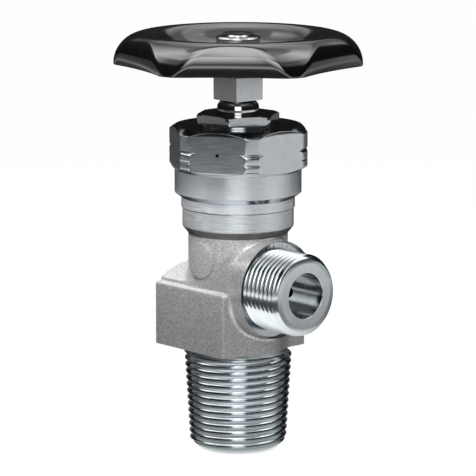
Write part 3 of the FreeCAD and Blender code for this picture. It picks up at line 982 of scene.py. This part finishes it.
bonnet = to_object(bonnet, "bonnet_nut_turned", [bonnet_plate])
print("bonnet:", len(bonnet.data.polygons))

# %% [markdown]
# ### Vent
# If a diaphragm ever leaks, the gas has to show itself, so a small hole is drilled through one flat of the
# hexagon, a little to the left of the camera's side. A thin pin is laid across the axis there and cut away.

# %% Drill the vent
vent_radius = 0.45
vent_turn = Matrix.Rotation(math.radians(-60), 4, "Z")
vent_place = Matrix.Translation((0, 0, hex_base + 5.6))
vent = turned([(0, 8), (vent_radius, 8), (vent_radius, 25), (0, 25)], 0.0, 24)
bmesh.ops.transform(vent, matrix=vent_turn @ vent_place @ along_x, verts=vent.verts)
combine(bonnet, to_object(vent, "vent", [bonnet_plate]), "DIFFERENCE")
dress(bonnet, "valve", ["bonnet_nut"])


# %% [markdown]
# ## Gland nut and washer
# A thin hexagon nut closes the top of the bonnet round the shank. It stands 35 degrees from the big hexagon,
# because a nut stops wherever it is tight. The same bar function serves, with this nut's own turn.

# %% Gland pieces
gland_across = 20.0
gland_corner = 11.3
gland_turn = 35.0
gland_hole = 5.65
gland_spigot = 8.45
washer_hole = 8.55
gland_outline = [
    (gland_hole, gland_low.z), (gland_spigot, gland_low.z), (gland_spigot, gland_base),
    (gland_corner - 0.4, gland_base), (gland_corner, gland_base + 0.3), (gland_corner, gland_high.z - 0.33),
    (gland_corner - 0.66, gland_high.z), (6.0, gland_high.z), (gland_hole, gland_high.z - 0.3),
]
gland = barred(gland_outline, 6, gland_across, gland_corner, gland_turn, gland_base, gland_high.z, 0.1)
dress(to_object(gland, "gland_nut_turned", [gland_plate]), "valve", ["gland_nut"])
washer = to_object(washer_ring("gland_washer", washer_hole), "gland_washer_ring", [gland_plate])
dress(washer, "valve", ["gland_washer"])


# %% [markdown]
# ## Spindle
# The spindle turns and rises. A ball sits in its foot, its screwed part works in the bonnet, its shank is
# polished for the seal, and it ends in a square tail and a stud. It is turned first, and the square is then
# milled on the tail, so the flats limit the outline between two levels only.

# %% Spindle
ball_socket = 2.05
socket_top = 59.04
screw_radius = 7.0
screw_low = 61.5
screw_high = 81.7
shank_radius = 5.6
tail_across = 6.4
tail_corner = 4.3
tail_top = sleeve_high.z - 0.2
stud_radius = 3.0
spindle_base = spindle_low.z
spindle_outline = [
    (0, socket_top), (ball_socket, socket_top), (ball_socket, spindle_base), (shank_radius, spindle_base),
    (shank_radius, screw_low), (screw_radius, screw_low), (screw_radius, screw_high),
    (shank_radius, screw_high), (shank_radius, shank_top - 2.2), (5.42, shank_top - 1.2),
    (4.9, shank_top - 0.45), (4.64, shank_top), (tail_corner, shank_top), (tail_corner, tail_top),
    (stud_radius, tail_top), (stud_radius, spindle_high.z - 0.4), (2.6, spindle_high.z), (0, spindle_high.z),
]
spindle = barred(spindle_outline, 4, tail_across, tail_corner, 0, shank_top, tail_top, 0.1, 2.5)
dress(to_object(spindle, "spindle_turned", [spindle_polish]), "wheel_train", ["spindle"])

# %% [markdown]
# ### Square sleeve
# The sleeve fills the step between the spindle's small square and the wheel's large one. It is square inside
# too, so its inner radius also changes with the angle, and each outline is closed with its own bore.

# %% Square sleeve
sleeve_across = 9.25
sleeve_corner = 6.52
sleeve_hole = 6.5
outer_side = 4.6
base, top = sleeve_low.z, sleeve_high.z
sleeve_side = [(sleeve_corner - 0.25, base), (sleeve_corner, base + 0.25), (sleeve_corner, top),
               (outer_side, top)]
sleeve_angles = bar_angles(4, sleeve_across, sleeve_corner, 0, 2.0)
sleeve_rings = []
for angle in sleeve_angles:
    outer = flat_distance(angle, sleeve_across, 4, 0)
    inner = flat_distance(angle, sleeve_hole, 4, 0)
    limited = clip_to_flat(sleeve_side, outer, 4.63, base, top)[:-1]
    limited = [point for point in limited if point[0] > outer_side] + [(inner, top), (inner, base)]
    sleeve_rings.append(soften(limited, 0.12, 2))
sleeve = to_object(skin(sleeve_rings, sleeve_angles), "square_sleeve_cut", [sleeve_plate])
dress(sleeve, "wheel_train", ["square_sleeve"])


# %% [markdown]
# ## Handwheel
# The wheel is moulded in one piece. Its rim is a thick round ring, dished inwards to a bowl that hides the
# nut, and six flats are moulded into the rim for the fingers. The outline is drawn first: an arc for the rim,
# one that meets it for the bowl, and straight steps for the hub, the square socket and the hollow below.

# %% Wheel outline
wheel_base = 102.9
hub_base = wheel_low.z
ring_radius = 24.8
tube_radius = 8.1
ring_level = wheel_base + 0.4
bowl_slope = math.radians(45)
first_turn = -math.asin(0.4 / tube_radius)
rim_arc = [(ring_radius + tube_radius * math.cos(a), ring_level + tube_radius * math.sin(a))
           for a in np.linspace(first_turn, math.pi / 2 + bowl_slope, 52)]
lip_radius, lip_level = rim_arc[-1]
bowl_round = (lip_level - bowl_floor) / (1 - math.cos(bowl_slope))
bowl_edge = lip_radius - bowl_round * math.sin(bowl_slope)
bowl_arc = [(bowl_edge + bowl_round * math.sin(a), bowl_floor + bowl_round * (1 - math.cos(a)))
            for a in np.linspace(bowl_slope, 0, 12)[1:]]
core_top = wheel_base + 4.2
stud_hole = 3.05
socket_radius = 4.7
hub_radius = 8.64
core_inner = 20.0
core_outer = 26.0
underside = [(stud_hole, bowl_floor), (stud_hole, sleeve_high.z), (socket_radius, sleeve_high.z),
             (socket_radius, hub_base), (hub_radius, hub_base), (hub_radius, wheel_base),
             (core_inner, wheel_base), (core_inner, core_top), (core_outer, core_top),
             (core_outer, wheel_base)]
wheel_outline = soften(rim_arc + bowl_arc + underside, 0.3, 2)
print("wheel outline:", len(wheel_outline), "points")

# %% [markdown]
# ### Finger flats
# Each flat is slightly hollow, so that a fingertip finds its middle. It is part of a large spool that stands
# beside the wheel: the spool's waist bulges with the height, more below the flat's middle than above it. At
# each angle the rim's radius is held back to the spool's surface, and the lathe skin does the rest. With 444
# columns the flats' edges stay smooth, and the wheel stays under two hundred thousand triangles.

# %% Mould the wheel
flat_turn = math.radians(-45)
flat_reach = 29.1
flat_level = wheel_base + 3.85
flat_bulge_below = tube_radius + 0.9
flat_bulge_above = 5.6
flat_hollow = 86.0
spool_centre = flat_reach + flat_hollow
socket_across = 9.35
sixth = math.pi / 3
wheel_angles = even_angles(444)
rim_side = wheel_outline[:, 0] > ring_radius
rim_side &= (wheel_outline[:, 1] > core_top + 0.1) | (wheel_outline[:, 0] > core_outer + 0.05)
socket_side = (wheel_outline[:, 0] > 4.4) & (wheel_outline[:, 0] < 5.0)
flat_rise = wheel_outline[:, 1] - flat_level
bulge = np.where(flat_rise > 0, flat_bulge_above, flat_bulge_below)
spool_radius = flat_hollow + bulge - np.sqrt(bulge ** 2 - flat_rise ** 2)
wheel_rings = []
for angle in wheel_angles:
    offset = (angle - flat_turn + sixth / 2) % sixth - sixth / 2
    ring = wheel_outline.copy()
    aside = spool_centre * math.sin(offset)
    limit = spool_centre * math.cos(offset) - np.sqrt(spool_radius ** 2 - aside ** 2)
    limited = smooth_min(ring[:, 0], limit, 0.8)
    ring[rim_side, 0] = limited[rim_side]
    ring[socket_side, 0] += flat_distance(angle, socket_across, 4, 0) - socket_radius
    wheel_rings.append(ring)
wheel = to_object(skin(wheel_rings, wheel_angles), "handwheel_moulding", [wheel_black])
dress(wheel, "wheel_train", ["handwheel"], 50)


# %% [markdown]
# ## Nut and washers on the wheel
# A plain round nut holds the wheel down over a washer and a split spring washer. Only the nut and the end
# of the stud rise above the rim, so these get the finest edges.

# %% Nut and hub washer
nut_radius = nut_high.x
nut_outline = [(stud_hole, nut_low.z), (nut_radius, nut_low.z), (nut_radius, nut_high.z - 0.45),
               (nut_radius - 0.45, nut_high.z), (3.4, nut_high.z), (stud_hole, nut_high.z - 0.3)]
nut = to_object(turned(nut_outline, 0.12, 128), "wheel_nut_turned", [nut_chrome])
dress(nut, "wheel_train", ["wheel_nut"])
washer = to_object(washer_ring("hub_washer", stud_hole), "hub_washer_ring", [gland_plate])
dress(washer, "wheel_train", ["hub_washer"])


# %% [markdown]
# ## Diaphragms
# Three dished sheets of spring steel seal the gas from the spindle. Their rims are clamped, and their
# middles flex up with the poppet when the valve opens. Each sheet is turned here as one dished piece, in its
# resting shape.

# %% Dished sheets
sheet_flat = 5.4
sheet_bend = 6.8
sheet_thick = 0.25
for node in ("lower_diaphragm", "middle_diaphragm", "upper_diaphragm"):
    low, high = span(node)
    rim_low = high.z - sheet_thick
    under = [(sheet_flat + (sheet_bend - sheet_flat) * share, low.z + (rim_low - low.z) * share)
             for share in np.linspace(0, 1, 7)]
    over = [(radius, level + sheet_thick) for radius, level in reversed(under)]
    rim = [(high.x, rim_low), (high.x, high.z)]
    sheet = turned([(0, low.z)] + under + rim + over + [(0, low.z + sheet_thick)], 0.03, 96)
    piece = to_object(sheet, node + "_sheet", [diaphragm_steel])
    piece.data.set_sharp_from_angle(angle=math.radians(35))
    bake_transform(piece)
    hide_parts(node)
    print(piece.name, "flexes over", round(rim_low - low.z - sheet_thick, 2), "mm")


# %% [markdown]
# ## Pieces that stay as the CAD made them
# The other parts inside the valve are already the right shape: seat, spring, pad, ball and rings. They keep
# their CAD meshes and only take a finish, so that a section or an exploded view of the model looks real.

# %% Finish the inner pieces
inner_finishes = {
    "clamp_ring": ring_brass,
    "poppet": ring_brass,
    "seat_insert": seat_polymer,
    "poppet_spring": spring_steel,
    "thrust_pad": ring_brass,
    "thrust_ball": nut_chrome,
    "slip_washer": slip_polymer,
    "shank_o_ring": seal_rubber,
    "spring_washer": spring_steel,
}
for node, finish in inner_finishes.items():
    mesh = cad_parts[node].data
    mesh.materials.clear()
    mesh.materials.append(finish)
print("inner pieces:", len(inner_finishes))


# %% [markdown]
# ## Camera
# The photograph looks at the valve from the front left of the outlet and a little from above. A long lens
# from 80 cm away gives the same weak perspective. The camera aims at a point on the spindle's axis.

# %% Place the camera
view_turn = math.radians(48.5)
view_rise = math.radians(10.3)
distance = 0.8
aim = Vector((0, 0, 0.05643))
back = Vector((math.sin(view_turn) * math.cos(view_rise), -math.cos(view_turn) * math.cos(view_rise),
               math.sin(view_rise)))
camera_data = bpy.data.cameras.new("camera")
camera_data.lens = 227.3
camera_data.sensor_width = 36
camera_data.shift_x = -0.0002
camera = bpy.data.objects.new("camera", camera_data)
camera.location = aim + back * distance
camera.rotation_euler = back.to_track_quat("Z", "Y").to_euler()
bpy.context.scene.collection.objects.link(camera)
bpy.context.scene.camera = camera
bpy.context.scene.view_settings.view_transform = "Standard"
print("camera at", [round(value, 4) for value in camera.location])


# %% [markdown]
# ## Studio
# Everything that is not part of the valve is staging: the floor, the tent's cloths and the lamps.

# %% Staging helpers
def stage_material(name):
    """An empty material for the studio."""
    material = bpy.data.materials.new(name)
    material.use_nodes = True
    material.node_tree.nodes.clear()
    return material, material.node_tree


def stage_object(name, shape, material):
    """A piece of the studio, in metres, that is not part of the valve."""
    mesh = bpy.data.meshes.new(name)
    shape.to_mesh(mesh)
    shape.free()
    mesh.materials.append(material)
    made = bpy.data.objects.new(name, mesh)
    bpy.context.scene.collection.objects.link(made)
    return made


print("staging helpers ready")


# %% [markdown]
# ### Floor
# The photograph's ground is white, yet a shadow lies on it. A stronger lamp would burn out the metal before
# the floor went white. So the floor shows its white of its own to the camera and in reflections, by Light
# Path, while a small share of matt surface keeps the shadow.

# %% Floor
def seen_directly(tree):
    """1 for rays from the camera, and for the ones that metal or glass sends on; 0 for the light itself."""
    ray = add_node(tree, "ShaderNodeLightPath")
    either = add_node(tree, "ShaderNodeMath", operation="MAXIMUM")
    any_of = add_node(tree, "ShaderNodeMath", operation="MAXIMUM")
    tree.links.new(ray.outputs["Is Camera Ray"], either.inputs[0])
    tree.links.new(ray.outputs["Is Glossy Ray"], either.inputs[1])
    tree.links.new(either.outputs[0], any_of.inputs[0])
    tree.links.new(ray.outputs["Is Transmission Ray"], any_of.inputs[1])
    return any_of.outputs[0]


floor_material, tree = stage_material("pale_floor")
output = add_node(tree, "ShaderNodeOutputMaterial")
matt = add_node(tree, "ShaderNodeBsdfDiffuse", Color=(0.9, 0.9, 0.9, 1))
glow = add_node(tree, "ShaderNodeEmission", Strength=1.015)
seen = seen_directly(tree)
floor_share = add_node(tree, "ShaderNodeMath", operation="MULTIPLY")
floor_share.inputs[1].default_value = 0.97
floor_blend = add_node(tree, "ShaderNodeMixShader")
tree.links.new(seen, floor_share.inputs[0])
tree.links.new(floor_share.outputs[0], floor_blend.inputs["Fac"])
tree.links.new(matt.outputs[0], floor_blend.inputs[1])
tree.links.new(glow.outputs[0], floor_blend.inputs[2])
tree.links.new(floor_blend.outputs[0], output.inputs["Surface"])
shape = bmesh.new()
bmesh.ops.create_circle(shape, cap_ends=True, radius=2.4, segments=96)
floor = stage_object("floor", shape, floor_material)
floor.location.z = -0.0002
print("floor radius", round(floor.dimensions.x / 2, 2))


# %% [markdown]
# ### Light tent
# Plated metal shows what stands round it more than its own colour, so product photographers put it in a tent
# of cloth. This tent is a cylinder 52 cm wide. A cloth glows with one tone, and its light is weakened round
# the axis by degrees from the camera's direction, and upwards by height. A gradient and two colour ramps do
# that, so one function makes every cloth, and no picture of a room is needed.

# %% Cloth with a graded glow
tent_radius = 0.26
tent_top = 0.34


def shares(tree, source, stops, first, last):
    """Turn a coordinate that runs from first to last into a share of light, by a list of (place, share)."""
    ramp = add_node(tree, "ShaderNodeValToRGB")
    marks = ramp.color_ramp.elements
    marks.remove(marks[0])
    for number, (at, share) in enumerate(stops):
        position = (at - first) / (last - first)
        mark = marks[0] if number == 0 else marks.new(position)
        mark.position = position
        mark.color = (share, share, share, 1)
    tree.links.new(graded(tree, source, 0, 1, first, last), ramp.inputs["Fac"])
    return ramp.outputs["Color"]


def glowing_cloth(name, tone, around, upright=((0, 1),)):
    """A cloth of one tone, weakened round the Z axis by degrees and upwards by metres."""
    material, tree = stage_material(name)
    output = add_node(tree, "ShaderNodeOutputMaterial")
    glow = add_node(tree, "ShaderNodeEmission", Strength=tone)
    place = add_node(tree, "ShaderNodeTexCoord")
    parts = add_node(tree, "ShaderNodeSeparateXYZ")
    turn = add_node(tree, "ShaderNodeTexGradient", gradient_type="RADIAL")
    both = add_node(tree, "ShaderNodeVectorMath", operation="MULTIPLY")
    tree.links.new(place.outputs["Object"], turn.inputs["Vector"])
    tree.links.new(place.outputs["Object"], parts.inputs["Vector"])
    degrees = graded(tree, turn.outputs["Fac"], -180, 180, 0, 1)
    tree.links.new(shares(tree, degrees, around, -180, 180), both.inputs[0])
    tree.links.new(shares(tree, parts.outputs["Z"], upright, 0, tent_top), both.inputs[1])
    tree.links.new(both.outputs["Vector"], glow.inputs["Color"])
    tree.links.new(glow.outputs[0], output.inputs["Surface"])
    return material


print("cloth ready")


# %% [markdown]
# ### Hanging a cloth
# A cloth is a strip between two rings, so it can be an upright wall or a flat ring. The camera and matt
# surfaces don't see it and it throws no shadow: it only gives the metal something to reflect.

# %% Hang a cloth
def hang_cloth(name, material, low, high, low_radius=tent_radius, high_radius=tent_radius, half=180):
    """A wall round the Z axis, or a flat ring of two radii, that reaches half degrees to both sides."""
    shape = bmesh.new()
    rings = []
    for radius, level in ((low_radius, low), (high_radius, high)):
        angles = np.radians(np.linspace(-half, half, 97))
        rings.append([shape.verts.new((radius * math.cos(a), radius * math.sin(a), level)) for a in angles])
    for number in range(96):
        shape.faces.new((rings[0][number], rings[0][number + 1], rings[1][number + 1], rings[1][number]))
    made = stage_object(name, shape, material)
    made.rotation_euler.z = view_turn - math.pi / 2
    made.visible_camera = False
    made.visible_diffuse = False
    made.visible_transmission = False
    made.visible_shadow = False
    return made


print("tent of", 2 * tent_radius, "by", tent_top, "m ready to hang")


# %% [markdown]
# ### Walls of the tent
# Forged pads, threads and the turned boss mirror the walls near the ground. In the photograph these
# reflections are bright towards the left, weaker at the right and dark at the back, and every height has its
# own pattern. So the low walls hang in five bands, each graded by itself.

# %% Low walls
strip_shares = [(-180, 0.05), (-140, 0.35), (-110, 0.52), (-70, 1.0), (-45, 0.95), (-15, 1.0), (5, 0.95),
                (30, 0.55), (70, 0.64), (90, 0.54), (112, 0.40), (140, 0.28), (155, 0.08), (180, 0.05)]
hem_shares = [(-180, 0.03), (-110, 0.10), (-60, 0.14), (-32, 0.80), (-15, 1.0), (5, 1.0), (28, 0.50),
              (66, 0.58), (90, 0.50), (112, 0.22), (180, 0.03)]
band_shares = [(-180, 0.04), (-140, 0.14), (-115, 0.24), (-78, 0.34), (-45, 0.28), (-27, 0.20), (-12, 0.85),
               (0, 1.0), (9, 0.90), (22, 0.56), (66, 0.66), (84, 0.54), (112, 0.25), (140, 0.12), (180, 0.04)]
upper_shares = [(-180, 0.03), (-140, 0.08), (-100, 0.20), (-84, 0.13), (-45, 0.15), (-27, 0.12), (-10, 0.42),
                (8, 0.42), (22, 0.50), (66, 0.62), (84, 0.58), (112, 0.25), (140, 0.10), (180, 0.03)]
top_shares = [(-180, 0.02), (-120, 0.10), (-97, 0.20), (-70, 0.06), (-20, 0.10), (8, 0.14), (24, 0.45),
              (60, 0.58), (84, 0.64), (112, 0.20), (180, 0.02)]
low_walls = [
    ("tent_hem", "hem_cloth", 1.4, hem_shares, 0.001, 0.013),
    ("tent_strip", "strip_cloth", 1.5, strip_shares, 0.013, 0.026),
    ("tent_band", "band_cloth", 1.25, band_shares, 0.026, 0.035),
    ("tent_upper", "upper_cloth", 1.25, upper_shares, 0.035, 0.051),
    ("tent_top_band", "top_cloth", 1.25, top_shares, 0.051, 0.068),
]
for name, cloth, tone, around, low, high in low_walls:
    hang_cloth(name, glowing_cloth(cloth, tone, around), low, high)
print("low walls:", len(low_walls))

# %% [markdown]
# ### Table
# Surfaces that look down mirror the table: the cone under the head, the wheel's underside and the lower side
# of every thread. It is cloth too, in flat rings just above the floor. A black flag lies below them, because
# the white floor would otherwise throw its light up from all sides. A black curtain hangs above the low
# walls, so that the shank and the nuts get their dark lines.

# %% Table rings
table_level = 0.0008
curtain_low = 0.068
curtain_high = 0.22
even = [(0, 1)]
table_shares = [(-180, 0.05), (-140, 0.12), (-90, 0.25), (-45, 0.40), (-28, 0.40), (-16, 0.15), (16, 0.12),
                (28, 0.30), (66, 0.72), (90, 0.60), (120, 0.15), (180, 0.05)]
stem_shares = [(-180, 0.05), (-130, 0.12), (-95, 0.28), (-60, 0.50), (-20, 0.80), (15, 0.80), (50, 0.60),
               (90, 0.50), (125, 0.20), (180, 0.05)]
table_rings = [
    ("tent_table", "table_cloth", 0.8, table_shares, 0.19, tent_radius),
    ("tent_middle", "middle_cloth", 0.5, table_shares, 0.09, 0.19),
    ("tent_inner", "inner_cloth", 1.9, stem_shares, 0.035, 0.09),
    ("tent_foot", "foot_cloth", 0.60, even, 0.0005, 0.035),
]
for name, cloth, tone, around, inner, outer in table_rings:
    hang_cloth(name, glowing_cloth(cloth, tone, around), table_level, table_level + 0.0001, inner, outer)
flag = hang_cloth("tent_flag", glowing_cloth("flag_cloth", 0.02, even), 0.0004, 0.0005, 0.0005, tent_radius)
flag.visible_glossy = False
flag.visible_diffuse = True
hang_cloth("tent_curtain", glowing_cloth("dark_cloth", 0.01, even), curtain_low, curtain_high)
print("table rings:", len(table_rings))

# %% [markdown]
# ### Sky
# The wheel's black gloss mirrors the tent's top: a bright field at the front left and one at each side give
# it long highlights with dark between them. So the top hangs in rings too, from the upper wall to the zenith.

# %% Sky rings
wall_shares = [(-180, 0.35), (-150, 0.06), (-106, 0.90), (-75, 0.18), (-50, 0.05), (-26, 0.12), (-12, 1.0),
               (4, 0.50), (20, 0.08), (60, 0.12), (95, 0.70), (130, 0.15), (155, 0.10), (180, 0.35)]
wall_rise = [(0.222, 0), (0.242, 1)]
slope_shares = [(-180, 0.50), (-150, 0.12), (-100, 0.78), (-55, 0.42), (-30, 0.60), (-12, 1.0), (12, 0.70),
                (30, 0.38), (50, 0.30), (90, 0.85), (130, 0.27), (160, 0.30), (180, 0.50)]
sky_shares = [(-180, 0.20), (-125, 0.12), (-80, 0.32), (-45, 0.95), (-5, 0.95), (12, 0.62), (26, 0.30),
              (80, 0.26), (130, 0.14), (180, 0.20)]
zenith_shares = [(-180, 0.04), (-80, 0.06), (-50, 0.95), (5, 0.95), (30, 0.20), (80, 0.05), (180, 0.04)]
sky_rings = [
    ("tent_slope", "slope_cloth", 3.0, slope_shares, 0.12, tent_radius),
    ("tent_sky", "sky_cloth", 3.0, sky_shares, 0.05, 0.12),
    ("tent_zenith", "zenith_cloth", 2.6, zenith_shares, 0.0005, 0.05),
]
hang_cloth("tent_sky_wall", glowing_cloth("sky_wall", 2.8, wall_shares, wall_rise), 0.215, tent_top)
for name, cloth, tone, around, inner, outer in sky_rings:
    hang_cloth(name, glowing_cloth(cloth, tone, around), tent_top, tent_top, inner, outer)
print("sky rings:", len(sky_rings))

# %% [markdown]
# ### Front panel
# Upright round pieces squeeze the whole room into thin upright bands. A narrow panel on the camera's side
# puts the light one at the middle of the shank, the nuts and the collar. It is stronger towards its top.

# %% Front panel
panel_radius = 0.255
panel_half = 20
front_shares = [(-20, 0), (-12, 1), (12, 1), (20, 0)]
front_rise = [(0.068, 0.16), (0.077, 0.24), (0.105, 0.42), (0.133, 0.62), (0.20, 0.95), (0.22, 1)]
front_cloth = glowing_cloth("front_cloth", 3.1, front_shares, front_rise)
front = hang_cloth("front_panel", front_cloth, curtain_low, curtain_high, panel_radius, panel_radius,
                   panel_half)
print("panel", round(front.dimensions.z, 3), "high")

# %% [markdown]
# ### Lamps
# The blasted forging scatters light, and the tent gives it none, so four lamps light it at a plain level. A
# wide box over the left shoulder is the key, two at the back draw the wheel's and pads' far edges, and a
# narrow snoot lifts the neck. They are hidden in reflections, where the cloths do their work.

# %% Lamps
def soft_lamp(name, turn, rise, far, wide, high, power):
    """A soft box that points at the valve's middle, turned and raised in degrees from the camera's side."""
    data = bpy.data.lights.new(name, "AREA")
    data.shape = "RECTANGLE"
    data.size = wide
    data.size_y = high
    data.energy = power
    lamp = bpy.data.objects.new(name, data)
    around = view_turn + math.radians(turn)
    up = math.radians(rise)
    direction = Vector((math.sin(around) * math.cos(up), -math.cos(around) * math.cos(up), math.sin(up)))
    lamp.location = aim + direction * far
    lamp.rotation_euler = direction.to_track_quat("Z", "Y").to_euler()
    bpy.context.scene.collection.objects.link(lamp)
    lamp.visible_camera = False
    lamp.visible_glossy = False
    return lamp


soft_lamp("key_box", -40, 58, 0.30, 0.22, 0.22, 0.60)
soft_lamp("back_left", -138, 62, 0.30, 0.16, 0.16, 1.70)
soft_lamp("back_right", 128, 58, 0.30, 0.16, 0.16, 1.20)
snoot = soft_lamp("snoot", -12, 38, 0.30, 0.02, 0.02, 4.80)
snoot.data.type = "SPOT"
snoot.data.spot_size = math.radians(9.5)
snoot.data.spot_blend = 1.0
snoot.data.shadow_soft_size = 0.02
print("lamps:", len(bpy.data.lights))

# %% [markdown]
# ### World
# The room behind everything is white as well. Light Path keeps it at full strength for the camera and in
# reflections, and at a low strength as a light, so that it fills the shadows only a little.

# %% World
world = bpy.data.worlds.new("white_room")
bpy.context.scene.world = world
world.use_nodes = True
tree = world.node_tree
tree.nodes.clear()
output = add_node(tree, "ShaderNodeOutputWorld")
room = add_node(tree, "ShaderNodeBackground", Color=(1, 1, 1, 1))
tree.links.new(graded(tree, seen_directly(tree), 0.08, 1.0, 0, 1), room.inputs["Strength"])
tree.links.new(room.outputs[0], output.inputs["Surface"])
print("world:", world.name)
